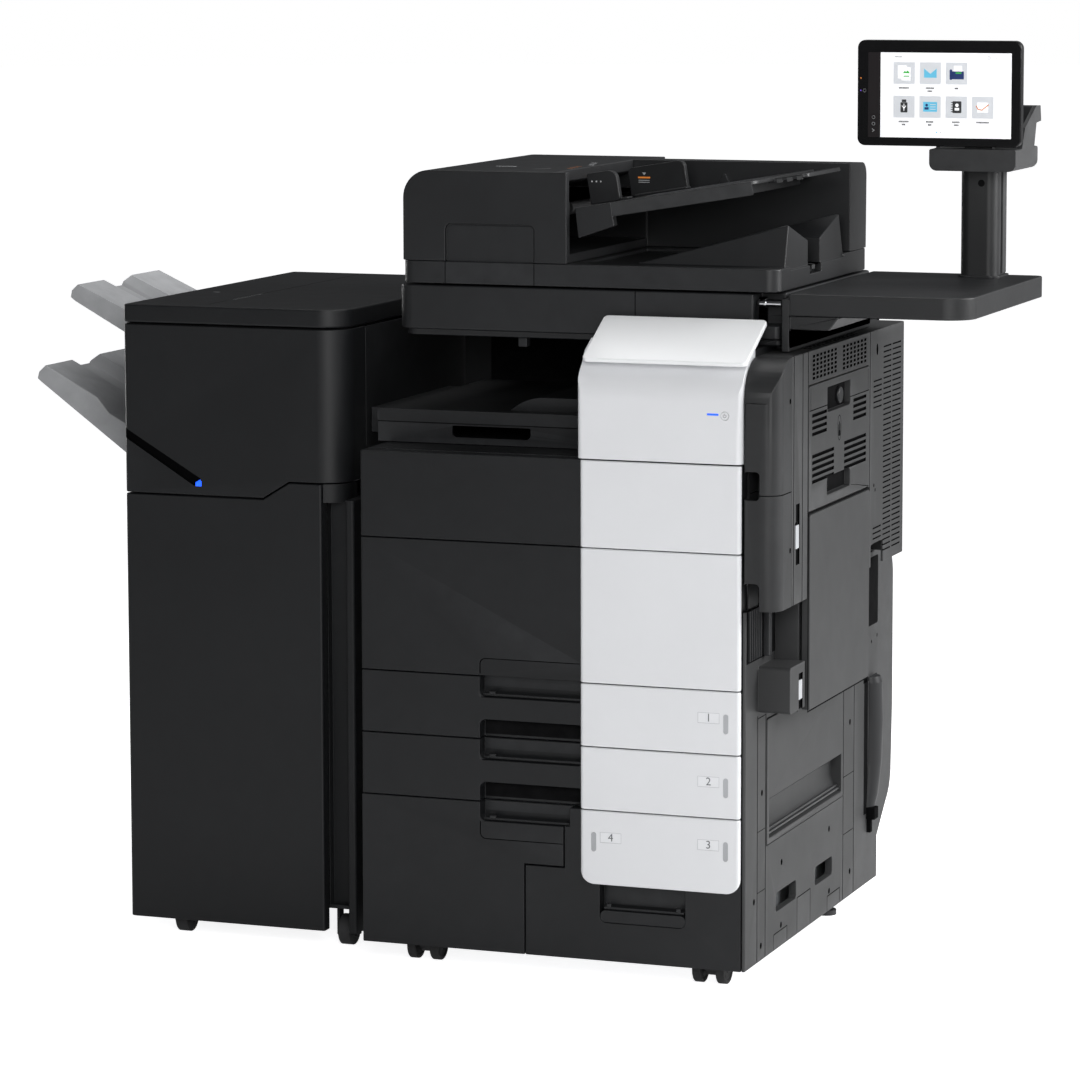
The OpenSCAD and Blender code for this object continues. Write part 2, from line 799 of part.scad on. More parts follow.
module work_table() {
    color(dark_grey) placed() {
        difference() {
            upright([table_x, table_right], table_y, [table_z - table_t, table_z], [2, table_r, 14, 2]);
            upright([table_x + 5, table_right - 5], [table_y[0] + 5, table_y[1] - 5],
                [table_z - table_t - 1, table_z - 5], [2, table_r - 5, 10, 2]);
        }
        // bracket that carries the table on the body
        block([611, 160, 950], [640, 552, 958]);
        difference() {
            block([hanger_x[0], table_y[0], 950], [hanger_x[1], 552, table_z - 8]);
            block([hanger_x[0] + 3, table_y[0] + 3, 958], [hanger_x[1] + 1, 549, table_z - 12]);
        }
        // closed arm under the slab, slanted at its outer end
        difference() {
            along_y([table_y[0] + 1, 552]) polygon([[hanger_x[1] - 1, 984], [705, 984], [719, 1002],
                [719, table_z - table_t + 1], [hanger_x[1] - 1, table_z - table_t + 1]]);
            along_y([table_y[0] + 5, 548]) polygon([[hanger_x[1] - 2, 988], [703, 988], [714, 1003],
                [714, table_z - 2], [hanger_x[1] - 2, table_z - 2]]);
        }
        // pin of the bracket in front of the scanner
        bar_x([593, hanger_x[0] + 1], [table_y[0] + 8, 1022], 5.5);
    }
}

module monitor_post() {
    color(dark_grey) placed() difference() {
        union() {
            upright(post_x, post_y, [table_z, post_top_z], [16, 16, 6, 6]);
            upright([post_x[0] - 4, post_x[1] + 5], [post_y[0] - 4, post_y[1] + 3], [table_z, table_z + 3],
                [16, 16, 8, 8]);
        }
        // groove up the right side and the screw hole near the top
        block([post_x[1] - 4, post_y[0] + 30, table_z + 4], [post_x[1] + 1, post_y[0] + 36, post_top_z + 1]);
        bar_y([post_y[0] - 1, post_y[0] + 12], [836, 1183], 4.5);
        translate([830, 529, post_top_z - 20]) cylinder(r = 15 + shaft_gap, h = 21);
    }
}

module monitor_bracket() {
    color(dark_grey) placed() {
        // base block on the post, with its swivel pin
        difference() {
            front_panel(bracket_x, [436, 575], [post_top_z + 0.5, 1238], [12, 12, 3, 3]);
            block([bracket_x[0] + 10, 520, 1214], [800, 576, 1239]);
            block([862, 520, 1214], [bracket_x[1] - 10, 576, 1239]);
        }
        translate([830, 529, post_top_z - 18]) cylinder(r = 15, h = 20);
        // hinge lug between the screen's two lugs
        difference() {
            along_x([817, 861]) polygon(concat([[466, 1237]], arc(tilt_axis, 8, 180, 0), [[486, 1237]]));
            bar_x([816, 862], tilt_axis, axle_r + shaft_gap);
        }
        // side cheeks and the ledge behind the screen
        for (x = [[bracket_x[0], bracket_x[0] + 6], [bracket_x[1] - 6, bracket_x[1]]]) {
            along_x(x) polygon([[440, 1212], [544, 1212], [566, 1274], [596, 1276], [591, 1300], [565, 1301],
                [494, 1269], [476, 1238], [440, 1236]]);
        }
        along_x([bracket_x[0] + 1, bracket_x[1] - 1]) polygon([[538, 1214], [544, 1212], [566, 1274],
            [596, 1276], [591, 1300], [565, 1301], [561, 1297]]);
    }
}

module touch_monitor() {
    color(black) placed() difference() {
        union() {
            front_panel([monitor_x, monitor_x + monitor_w], [monitor_y[0], monitor_y[1] - 6],
                [monitor_z, monitor_z + monitor_h], [12, 12, 12, 12]);
            front_panel([monitor_x + 8, monitor_x + monitor_w - 8], [monitor_y[1] - 7, monitor_y[1]],
                [monitor_z + 8, monitor_z + monitor_h - 8], [10, 10, 10, 10]);
            // two hinge lugs and their pin
            for (x = [[803, 813], [865, 875]]) {
                along_x(x) polygon(concat([[monitor_y[1] - 1, tilt_axis[1] - 7]],
                    arc(tilt_axis, 7, -90, 90), [[monitor_y[1] - 1, tilt_axis[1] + 7]]));
            }
            bar_x([804, 874], tilt_axis, axle_r);
        }
        block([monitor_x - 1, button_y[0] - 0.3, 1318.5], [monitor_x + 8, button_y[1] + 0.3, 1334.5]);
    }
}

module monitor_button() {
    color(dark_grey) placed() block([monitor_x - 1.2, button_y[0], 1318.8], [monitor_x + 5, button_y[1], 1334.2]);
}

// ---------- finisher ----------

module finisher_body() {
    color(black) placed() {
        difference() {
            upright([fin_left, fin_right], [fin_y + 24, fin_back], [fin_skirt_z, fin_cover_z[1] - 1],
                [0, 0, 8, 8]);
            // inside, open to the front behind the door and the upper cover
            block([fin_left + 4, fin_y + 23, 66], [fin_door_right - 2, fin_back - 4, 700]);
            block([fin_left + 4, fin_y + 23, 704], [fin_right - 4, fin_back - 4, fin_cover_z[1]]);
            block([fin_left - 1, fin_y + 23, fin_cover_z[0] - 1], [fin_right + 1, fin_y + 90.5, fin_cover_z[1]]);
            // side duct beside the door, and the grip recess in front of it
            block([fin_door_right + 2, fin_y + 42, 66], [fin_right - 4, fin_back - 4, 700]);
            block([fin_door_right, fin_y + 23, 66], [fin_right + 1, fin_y + 38, 699]);
            // wheel space under the base
            block([fin_left + 4, fin_y + 23, fin_skirt_z - 1], [fin_right - 4, fin_back - 4, 60]);
            // exit mouths over the two trays
            block([fin_left - 1, 250, 938], [fin_left + 5, 535, 962]);
            block([fin_left - 1, 250, 762], [fin_left + 5, 535, 796]);
            // slots for the lower tray's arms
            for (y = [300, 470]) {
                block([fin_left - 1, y, 360], [fin_left + 36, y + 16, 740]);
            }
            // paper entry from the relay unit
            block([fin_right - 5, 180, 806], [fin_right + 1, 490, 834]);
        }
        // upright post beside the copier
        upright([-49, -34], [fin_y, fin_y + 60], [fin_skirt_z, fin_cover_z[0] + 2], [5, 5, 0, 0]);
        block([fin_right - 1, fin_y + 39, fin_skirt_z], [-36, fin_y + 60, fin_cover_z[0]]);
        upright([fin_door_right + 1, fin_right - 3], [fin_y + 3, fin_y + 60],
            [fin_cover_z[0] - 4, fin_cover_z[0] + 25], [0, fin_r - 3, 0, 0]);
        // axle plates of the two wheels
        for (x = fin_wheel_x) {
            for (s = [-1, 1]) {
                difference() {
                    block([x + s * 15 - 2, fin_axle_y - 9, 16], [x + s * 15 + 2, fin_axle_y + 9, 62]);
                    bar_x([x + s * 15 - 3, x + s * 15 + 3], [fin_axle_y, wheel_r], axle_r + shaft_gap);
                }
            }
        }
        levelling_foot(-372, 205, 62);
        levelling_foot(-92, 205, 62);
        levelling_foot(-372, 640, 62);
        levelling_foot(-92, 640, 62);
    }
}

module finisher_upper_cover() {
    color(black) placed() difference() {
        upright([fin_left, fin_right], [fin_y, fin_y + 90], [fin_cover_z[0], fin_cover_z[1]],
            [8, fin_r, 0, 0]);
        upright([fin_left + 4, fin_right - 4], [fin_y + 4, fin_y + 91],
            [fin_cover_z[0] - 1, fin_cover_z[1] + 1], [6, fin_r - 4, 0, 0]);
        // stepped lower edge
        along_y([fin_y - 1, fin_y + 92]) polygon([[-186, fin_cover_z[0]], [-142, fin_cover_z[0] + 27],
            [fin_right + 1, fin_cover_z[0] + 27], [fin_right + 1, fin_cover_z[0] - 1], [-186, fin_cover_z[0] - 1]]);
        // slanting groove that ends at the lamp
        along_y([fin_y - 1, fin_y + 2.5]) polygon([[fin_left - 1, 802], [fin_left - 1, 793],
            [-301, 720], [-293, 720], [-293, 728]]);
    }
}

module finisher_top_cover() {
    color(black) placed() difference() {
        upright([fin_left, fin_right], [fin_y, fin_back], [fin_cover_z[1] + 3, fin_top_z],
            [8, fin_r, 8, 8]);
        upright([fin_left + 5, fin_right - 5], [fin_y + 5, fin_back - 5],
            [fin_cover_z[1] + 2, fin_top_z - 5], [6, fin_r - 5, 6, 6]);
    }
}

module finisher_front_door() {
    color(black) placed() difference() {
        intersection() {
            upright([fin_left, fin_door_right], [fin_y, fin_y + 20], [fin_skirt_z, 740], [8, 4, 0, 0]);
            along_y([fin_y - 1, fin_y + 22]) polygon([[fin_left - 1, fin_skirt_z],
                [fin_door_right + 1, fin_skirt_z], [fin_door_right + 1, fin_cover_z[0] + 24.5],
                [-142, fin_cover_z[0] + 24.5], [-186, fin_cover_z[0] - 2.5], [fin_left - 1, fin_cover_z[0] - 2.5]]);
        }
        block([fin_left + 10, fin_y + 4, fin_skirt_z + 10], [fin_door_right - 8, fin_y + 22, 690]);
    }
}

// Exit tray with a hand channel along its middle; outline is (x, z)
module exit_tray(outline, channel) {
    difference() {
        along_y(tray_y) polygon(outline);
        // hand channel with sloping sides
        along_outline(channel) polygon([[335, 40], [335, 0], [364, -12], [415, -12], [443, 0], [443, 40]]);
    }
}

// Child outline (y, z) drawn out along the sloping line from a to b
module along_outline(line) {
    a = line[0];
    b = line[1];
    run = b - a;
    translate([a[0], 0, a[1]]) rotate([0, -atan2(run[1], run[0]), 0]) translate([-20, 0, 0])
        rotate([90, 0, 90]) linear_extrude(norm(run) + 40) children();
}

module upper_exit_tray() {
    tip = [-598, 988];
    color(tray_grey) placed() {
        exit_tray([tip, tip + [2, 11], tip + [13, 21], [fin_left - 0.5, 934], [fin_left - 0.5, 890],
            tip + [8, -6]], [[tip[0], tip[1] + 27], [fin_left, 934]]);
        for (y = [300, 470]) {
            block([fin_left - 6, y, 898], [fin_left, y + 16, 928]);
        }
    }
}

module lower_exit_tray() {
    tip = [box_x[0], 855];
    color(tray_grey) placed() {
        exit_tray([tip, tip + [3, 11], tip + [15, 22], [-554, 828], [-533, 803], [fin_left - 0.5, 745],
            [fin_left - 0.5, 680], tip + [6, -5]], [[tip[0], tip[1] + 30], [-500, 803]]);
        for (y = [302, 472]) {
            block([fin_left - 4, y, 690], [fin_left + 30, y + 12, 730]);
        }
    }
}

module finisher_wheels() {
    color(rubber) placed() {
        for (x = fin_wheel_x) {
            bar_x([x - 10, x + 10], [fin_axle_y, wheel_r], wheel_r);
            bar_x([x - 18, x + 18], [fin_axle_y, wheel_r], axle_r);
        }
    }
}

// ---------- casters ----------

module caster_fork(x) {
    color(dark_grey) placed() translate([x, caster_y, 0]) {
        caster_blade();
        translate([0, 0, 45.5]) cylinder(r = 13, h = 4);
        translate([0, 0, 45.5]) cylinder(r = stem_r, h = 11);
    }
}

module caster_wheels(x) {
    color(rubber) placed() translate([x, caster_y - caster_trail, wheel_r]) twin_wheels();
}

module front_left_caster_fork() {
    caster_fork(caster_x[0]);
}

module front_left_caster_wheels() {
    caster_wheels(caster_x[0]);
}

module front_right_caster_fork() {
    caster_fork(caster_x[1]);
}

module front_right_caster_wheels() {
    caster_wheels(caster_x[1]);
}

module rear_wheels() {
    color(rubber) placed() {
        for (x = caster_x) {
            translate([x, rear_axle_y, wheel_r]) twin_wheels();
        }
    }
}

main_frame();
rear_cover();
right_front_cover();
right_rear_cover();
right_lower_cover();
exit_housing();
relay_unit();
white_upper_panel();
top_plate();
power_key();
toner_door();
toner_door_trim();
front_door();
front_door_trim();
tray_1_front();
tray_1_trim();
tray_1_box();
tray_1_lift_plate();
tray_2_front();
tray_2_trim();
tray_2_box();
tray_2_lift_plate();
left_drawer_front();
left_drawer_box();
right_drawer_front();
right_drawer_trim();
right_drawer_box();
right_door();
bypass_tray();
lower_right_door();
photoconductor_drum();
fuser_roller();
toner_bottle();
scanner_housing();
platen_glass();
scanner_carriage();
adf_base();
adf_body();
adf_feed_cover();
adf_pickup_roller();
document_tray();
document_front_guide();
document_rear_guide();
work_table();
monitor_post();
monitor_bracket();
touch_monitor();
monitor_button();
finisher_body();
finisher_upper_cover();
finisher_top_cover();
finisher_front_door();
upper_exit_tray();
lower_exit_tray();
finisher_wheels();
front_left_caster_fork();
front_left_caster_wheels();
front_right_caster_fork();
front_right_caster_wheels();
rear_wheels();
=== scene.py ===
"""Looks of the photocopier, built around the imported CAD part. Lengths in the helpers are millimetres."""
import json
import math
from collections import namedtuple
import bmesh
import bpy
from mathutils import Matrix, Vector

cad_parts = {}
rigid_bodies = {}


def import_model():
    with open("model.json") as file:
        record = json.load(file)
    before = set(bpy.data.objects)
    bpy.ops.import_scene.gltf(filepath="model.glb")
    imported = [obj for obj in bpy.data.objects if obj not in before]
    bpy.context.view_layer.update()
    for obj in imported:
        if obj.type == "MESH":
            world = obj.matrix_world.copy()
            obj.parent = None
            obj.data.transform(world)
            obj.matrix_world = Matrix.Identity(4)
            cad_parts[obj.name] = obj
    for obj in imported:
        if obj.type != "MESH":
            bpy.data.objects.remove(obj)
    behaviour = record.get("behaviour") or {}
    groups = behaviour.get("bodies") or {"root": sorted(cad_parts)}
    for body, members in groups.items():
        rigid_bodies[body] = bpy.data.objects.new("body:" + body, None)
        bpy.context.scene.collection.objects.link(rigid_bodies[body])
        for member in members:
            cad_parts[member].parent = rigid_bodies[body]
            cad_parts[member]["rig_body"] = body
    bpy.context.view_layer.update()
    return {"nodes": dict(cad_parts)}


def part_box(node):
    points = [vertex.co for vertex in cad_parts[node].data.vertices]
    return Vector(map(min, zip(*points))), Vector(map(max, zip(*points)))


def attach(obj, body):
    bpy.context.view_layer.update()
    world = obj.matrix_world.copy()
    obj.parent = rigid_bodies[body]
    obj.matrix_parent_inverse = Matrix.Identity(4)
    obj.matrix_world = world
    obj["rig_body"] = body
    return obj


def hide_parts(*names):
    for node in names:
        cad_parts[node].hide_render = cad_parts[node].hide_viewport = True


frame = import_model()
NODES = frame["nodes"]

# Machine coordinates: millimetres from the main body's left front bottom corner,
# which is 2 mm to the left of the toner door's edge
_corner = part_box("toner_door")[0]
ORIGIN = Vector((_corner.x - 0.002, _corner.y, 0.0))

WELD_M = 2e-6            # vertices closer than this are one
FLAT_DEGREES = 0.8       # faces that turn less than this are joined into one
SHARP_DEGREES = 38       # edges that turn more than this stay sharp


def pt(x, y, z):
    return ORIGIN + Vector((x, y, z)) / 1000


# ---------- materials ----------

def _math(nt, kind, a, b):
    n = nt.nodes.new("ShaderNodeMath")
    n.operation = kind
    for i, v in enumerate((a, b)):
        if isinstance(v, (int, float)):
            n.inputs[i].default_value = v
        else:
            nt.links.new(v, n.inputs[i])
    return n.outputs[0]


def _noise(nt, scale, detail=2.0, rough=0.5, stretch=None):
    tc = nt.nodes.new("ShaderNodeTexCoord")
    n = nt.nodes.new("ShaderNodeTexNoise")
    n.inputs["Scale"].default_value = scale
    n.inputs["Detail"].default_value = detail
    n.inputs["Roughness"].default_value = rough
    src = tc.outputs["Object"]
    if stretch:
        mp = nt.nodes.new("ShaderNodeMapping")
        mp.inputs["Scale"].default_value = stretch
        nt.links.new(src, mp.inputs["Vector"])
        src = mp.outputs[0]
    nt.links.new(src, n.inputs["Vector"])
    return n.outputs["Fac"]


def _ramp(nt, fac, stops):
    n = nt.nodes.new("ShaderNodeValToRGB")
    el = n.color_ramp.elements
    el[0].position, el[0].color = stops[0][0], (*stops[0][1], 1)
    el[1].position, el[1].color = stops[-1][0], (*stops[-1][1], 1)
    for pos, col in stops[1:-1]:
        e = el.new(pos)
        e.color = (*col, 1)
    nt.links.new(fac, n.inputs[0])
    return n.outputs[0]


def surface(name, colour, rough=0.45, spread=0.08, mottle=0.10, grain=1500.0, bump=0.10,
            wear_and_edge_highlight=0.6, wear_and_highlight_gain=3.0, metallic=0.0, specular=0.5, coat=0.0, emit=0.0, alpha=1.0,
            stretch=None, mottle_scale=7.0):
    """Procedural finish: mottled colour, moulded grain, uneven gloss and lighter edges, partly wear and partly
    a painted highlight.
    """
    m = bpy.data.materials.new(name)
    m.use_nodes = True
    nt = m.node_tree
    b = nt.nodes["Principled BSDF"]
    b.inputs["Metallic"].default_value = metallic
    b.inputs["Specular IOR Level"].default_value = specular
    b.inputs["Coat Weight"].default_value = coat
    b.inputs["Coat Roughness"].default_value = 0.12
    big = _noise(nt, mottle_scale, 4.0, 0.55, stretch)
    lo = tuple(c * (1 - mottle) for c in colour)
    hi = tuple(min(1.0, c * (1 + mottle)) for c in colour)
    col = _ramp(nt, big, [(0.3, lo), (0.7, hi)])
    # edges lighter where the surface is pointy: partly wear, partly a painted highlight along the edges
    if wear_and_edge_highlight > 0:
        geo = nt.nodes.new("ShaderNodeNewGeometry")
        patch = _noise(nt, 38.0, 3.0, 0.6)
        edge = _ramp(nt, geo.outputs["Pointiness"], [(0.515, (0, 0, 0)), (0.60, (1, 1, 1))])
        amount = _math(nt, "MULTIPLY", _math(nt, "MULTIPLY", edge, patch), wear_and_edge_highlight)
        mix = nt.nodes.new("ShaderNodeMix")
        mix.data_type = "RGBA"
        nt.links.new(amount, mix.inputs[0])
        nt.links.new(col, mix.inputs[6])
        mix.inputs[7].default_value = (*[min(1.0, c * wear_and_highlight_gain + 0.01) for c in colour], 1)
        col = mix.outputs[2]
    nt.links.new(col, b.inputs["Base Color"])
    fine = _noise(nt, grain, 2.0, 0.5, stretch)
    mid = _noise(nt, 22.0, 3.0)
    r = _math(nt, "ADD", _math(nt, "MULTIPLY", mid, spread), rough - spread / 2)
    r = _math(nt, "ADD", r, _math(nt, "MULTIPLY", fine, spread * 0.5))
    nt.links.new(r, b.inputs["Roughness"])
    if bump > 0:
        bp = nt.nodes.new("ShaderNodeBump")
        bp.inputs["Strength"].default_value = bump
        bp.inputs["Distance"].default_value = 0.0004
        nt.links.new(fine, bp.inputs["Height"])
        nt.links.new(bp.outputs[0], b.inputs["Normal"])
    if emit > 0:
        nt.links.new(col, b.inputs["Emission Color"])
        b.inputs["Emission Strength"].default_value = emit
    if alpha < 1:
        b.inputs["Alpha"].default_value = alpha
    return m


M = {
    "front": surface("black_front", (0.0072, 0.0077, 0.0086), 0.42, specular=0.36),
    "metal": surface("powder_black", (0.0072, 0.0077, 0.0085), 0.48, specular=0.32, grain=900, bump=0.12),
    # lighter than the front black: painted light from the right, on the side and rear covers and a few small
    # parts
    "side": surface("side_plastic_lit", (0.029, 0.0295, 0.0303), 0.50, specular=0.36, bump=0.14),
    "cover": surface("cover_plastic", (0.0165, 0.0170, 0.0178), 0.42, specular=0.36),
    "feeder": surface("feeder_black", (0.0105, 0.0110, 0.0120), 0.40, specular=0.40),
    "white": surface("white_panel", (0.765, 0.773, 0.792), 0.28, 0.05, 0.012, 1500, 0.03, 0.10, 1.1,
                     specular=0.5, coat=0.15),
    # a lighter copy of the white panel for the top plate: painted light on its top face
    "plate_white": surface("top_plate_white_lit", (0.86, 0.87, 0.88), 0.28, 0.05, 0.012, 1500, 0.03, 0.10, 1.05,
                           specular=0.5, coat=0.15),
    "tray": surface("exit_tray_plastic", (0.31, 0.314, 0.323), 0.55, bump=0.16),
    "inner": surface("inner_grey", (0.060, 0.062, 0.066), 0.55),
    # near-black: painted shade in cut slots, seams, grooves, holes, gaps and openings; also the hand icon's
    # print and the pipe clip
    "dark": surface("shade_print_and_clip_black", (0.0016, 0.0016, 0.0018), 0.75, specular=0.02),
    "steel": surface("galvanised", (0.42, 0.44, 0.46), 0.38, 0.14, 0.16, 700, 0.10, metallic=0.9, wear_and_edge_highlight=0.2,
                     mottle_scale=28.0),
    "plate": surface("brushed_plate", (0.55, 0.56, 0.57), 0.30, 0.12, 0.08, 900, 0.10, metallic=1.0, wear_and_edge_highlight=0.1,
                     stretch=(1, 30, 30)),
    "chrome": surface("chrome_pin", (0.72, 0.73, 0.75), 0.12, 0.05, 0.03, 900, 0.02, metallic=1.0, wear_and_edge_highlight=0.1),
    "rubber": surface("wheel_rubber", (0.020, 0.020, 0.021), 0.62, 0.12, bump=0.25, grain=800),
    "fork": surface("caster_nylon", (0.022, 0.022, 0.024), 0.45),
    "drum": surface("drum_coating", (0.02, 0.17, 0.11), 0.14, 0.05, 0.08, 900, 0.02, wear_and_edge_highlight=0.0, coat=0.5),
    "fuser": surface("silicone_rubber", (0.20, 0.065, 0.03), 0.45, bump=0.2),
    "toner": surface("toner_black", (0.03, 0.03, 0.033), 0.5),
    "bezel": surface("screen_gloss", (0.0045, 0.0045, 0.005), 0.20, 0.05, 0.10, 900, 0.01, 0.15,
                     specular=0.28),
    "strip": surface("screen_strip", (0.016, 0.013, 0.014), 0.2, 0.05, bump=0.01, wear_and_edge_highlight=0.0),
    "lit": surface("screen_lit", (0.93, 0.935, 0.95), 0.25, 0.03, 0.01, 900, 0.0, 0.0, emit=0.45,
                   specular=0.3),
    "tile": surface("icon_tile", (0.66, 0.68, 0.71), 0.3, 0.03, 0.01, 900, 0.0, 0.0, emit=0.32),
    "ink": surface("icon_ink", (0.035, 0.037, 0.04), 0.35, wear_and_edge_highlight=0.0, bump=0.0),
    "navy": surface("icon_navy", (0.012, 0.035, 0.16), 0.35, wear_and_edge_highlight=0.0, bump=0.0, emit=0.2),
    "cyan": surface("icon_cyan", (0.13, 0.53, 0.76), 0.35, wear_and_edge_highlight=0.0, bump=0.0, emit=0.35),
    "green": surface("icon_green", (0.05, 0.46, 0.06), 0.35, wear_and_edge_highlight=0.0, bump=0.0, emit=0.3),
    # glows: right for the orange lamp and the screen's swirl, a painted glow on the printed marks of the
    # feeder
    "orange": surface("mark_orange", (0.72, 0.22, 0.03), 0.4, wear_and_edge_highlight=0.0, bump=0.0, emit=0.25),
    "violet": surface("mark_violet", (0.16, 0.07, 0.55), 0.4, wear_and_edge_highlight=0.0, bump=0.0, emit=0.5),
    "print": surface("pale_print", (0.50, 0.51, 0.52), 0.5, wear_and_edge_highlight=0.0, bump=0.0),
    "label": surface("label_grey", (0.42, 0.43, 0.45), 0.4, wear_and_edge_highlight=0.0, bump=0.02),
    # a little lighter than the white trims: painted light that offsets the shade in the label recesses
    "recess_white_lit": surface("recess_white_lit", (0.80, 0.81, 0.83), 0.4, 0.05, 0.01, wear_and_edge_highlight=0.0, bump=0.02),
    "figure": surface("figure_grey", (0.13, 0.135, 0.145), 0.45, wear_and_edge_highlight=0.0, bump=0.0),
    "lever": surface("lever_white", (0.42, 0.43, 0.45), 0.4, 0.06, wear_and_edge_highlight=0.2, wear_and_highlight_gain=1.2),
    "blue": surface("lamp_blue", (0.012, 0.09, 0.85), 0.2, 0.03, 0.04, 900, 0.0, 0.0, emit=1.4),
    "pad": surface("white_pad", (0.74, 0.75, 0.76), 0.55, mottle=0.03, wear_and_edge_highlight=0.1, wear_and_highlight_gain=1.1),
    "glass": surface("platen_glass", (0.42, 0.55, 0.58), 0.05, 0.02, 0.04, 900, 0.0, 0.0, specular=0.6,
                     alpha=0.35),
}


# ---------- mesh helpers ----------

def fresh_mesh(name, bm):
    """A plain mesh from a bmesh, with nothing else carried over."""
    bm.verts.index_update()
    me = bpy.data.meshes.new(name)
    me.from_pydata([v.co[:] for v in bm.verts], [], [[v.index for v in f.verts] for f in bm.faces])
    me.validate()
    me.update()
    bm.free()
    return me


def show(name, me, body, mat, replaces=(), flat=False):
    """Puts a mesh on a body, shaded smooth up to its sharp edges."""
    if not me.materials:
        me.materials.append(M[mat])
    me.polygons.foreach_set("use_smooth", [not flat] * len(me.polygons))
    me.set_sharp_from_angle(angle=math.radians(SHARP_DEGREES))
    ob = bpy.data.objects.new(name, me)
    bpy.context.scene.collection.objects.link(ob)
    if not flat:
        w = ob.modifiers.new("even_normals", "WEIGHTED_NORMAL")
        w.keep_sharp = True
    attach(ob, body)
    if replaces:
        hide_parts(*replaces)
    return ob


def through_modifiers(me, build):
    """The mesh after the modifiers that build() adds to a temporary object."""
    ob = bpy.data.objects.new("tmp", me)
    bpy.context.scene.collection.objects.link(ob)
    build(ob)
    dg = bpy.context.evaluated_depsgraph_get()
    out = bpy.data.meshes.new_from_object(ob.evaluated_get(dg))
    bpy.data.objects.remove(ob)
    return out


def node_mesh(node, bevel, segments=3, clamp=False, angle=33.0):
    """The CAD node's shape with its flat faces joined up and its edges rounded by bevel millimetres."""
    bm = bmesh.new()
    bm.from_mesh(NODES[node].data)
    bmesh.ops.remove_doubles(bm, verts=bm.verts, dist=WELD_M)
    if bevel <= 0:
        return fresh_mesh(node + "_v", bm)
    bmesh.ops.dissolve_limit(bm, angle_limit=math.radians(FLAT_DEGREES), verts=bm.verts, edges=bm.edges)
    me = fresh_mesh(node + "_v", bm)

    def build(ob):
        mod = ob.modifiers.new("edges", "BEVEL")
        mod.width = bevel / 1000
        mod.segments = segments
        mod.limit_method = "ANGLE"
        mod.angle_limit = math.radians(angle)
        mod.use_clamp_overlap = clamp
        mod.miter_outer = "MITER_ARC"
    return through_modifiers(me, build)


def cut(me, cutter, inside):
    """The mesh minus the cutter bmesh; the cut faces take the material inside."""
    tool_mesh = fresh_mesh("tool", cutter)
    tool_mesh.materials.append(M[inside])
    tool = bpy.data.objects.new("tool", tool_mesh)
    bpy.context.scene.collection.objects.link(tool)

    def build(ob):
        mod = ob.modifiers.new("cut", "BOOLEAN")
        mod.operation = "DIFFERENCE"
        mod.solver = "EXACT"
        mod.use_self = True
        mod.use_hole_tolerant = True
        mod.material_mode = "TRANSFER"
        mod.object = tool
    out = through_modifiers(me, build)
    bpy.data.objects.remove(tool)
    return out


def add_box(bm, lo, hi, r=0.0, seg=2):
    """Box between two machine points, edges rounded by r."""
    a, b = pt(*lo), pt(*hi)
    m = Matrix.Translation((a + b) / 2) @ Matrix.Diagonal((*(b - a), 1))
    geo = bmesh.ops.create_cube(bm, size=1, matrix=m)
    if r > 0:
        edges = {e for v in geo["verts"] for e in v.link_edges}
        bmesh.ops.bevel(bm, geom=list(edges), offset=r / 1000, segments=seg, affect="EDGES",
                        profile=0.5, clamp_overlap=True)


AXES = {"x": lambda u, v, w: (w, u, v), "y": lambda u, v, w: (u, w, v), "z": lambda u, v, w: (u, v, w)}


def add_prism(bm, outline, axis, a, b, r=0.0, seg=2):
    """Outline drawn out along an axis from a to b; its points are (y, z), (x, z) or (x, y)."""
    lo = [bm.verts.new(pt(*AXES[axis](u, v, a))) for u, v in outline]
    hi = [bm.verts.new(pt(*AXES[axis](u, v, b))) for u, v in outline]
    n = len(outline)
    faces = [bm.faces.new(lo[::-1]), bm.faces.new(hi)]
    for i in range(n):
        faces.append(bm.faces.new((lo[i], lo[(i + 1) % n], hi[(i + 1) % n], hi[i])))
    bmesh.ops.recalc_face_normals(bm, faces=faces)
    if r > 0:
        ends = set(faces[0].edges) | set(faces[1].edges)
        bmesh.ops.bevel(bm, geom=list(ends), offset=r / 1000, segments=seg, affect="EDGES",
                        profile=0.5, clamp_overlap=True)


def arc(cu, cv, r, start, end, n, rv=None):
    """Points of an arc between two angles in degrees; rv is the second radius of an ellipse."""
    out = []
    for i in range(n + 1):
        a = math.radians(start + (end - start) * i / n)
        out.append((cu + r * math.cos(a), cv + (rv or r) * math.sin(a)))
    return out


def rounded(u0, v0, u1, v1, r, n=5):
    """Rounded rectangle as a list of points."""
    return (arc(u1 - r, v1 - r, r, 0, 90, n) + arc(u0 + r, v1 - r, r, 90, 180, n)
            + arc(u0 + r, v0 + r, r, 180, 270, n) + arc(u1 - r, v0 + r, r, 270, 360, n))


def ring(cu, cv, r, n=24, rv=None):
    """Circle or ellipse that ends on its first point, for stroke()."""
    return arc(cu, cv, r, 0, 360, n, rv)


def disc(cu, cv, r, n=24, rv=None):
    """Circle or ellipse as an outline."""
    return ring(cu, cv, r, n, rv)[:-1]


def frame_lines(bm, axis, at, u0, v0, u1, v1, w, depth):
    """Four thin bars round a rectangle, from at to at + depth."""
    bars = ((u0, v0, u1, v0 + w), (u0, v1 - w, u1, v1),
            (u0, v0 + w, u0 + w, v1 - w), (u1 - w, v0 + w, u1, v1 - w))
    for left, low, right, high in bars:
        add_prism(bm, [(left, low), (right, low), (right, high), (left, high)], axis, at, at + depth)


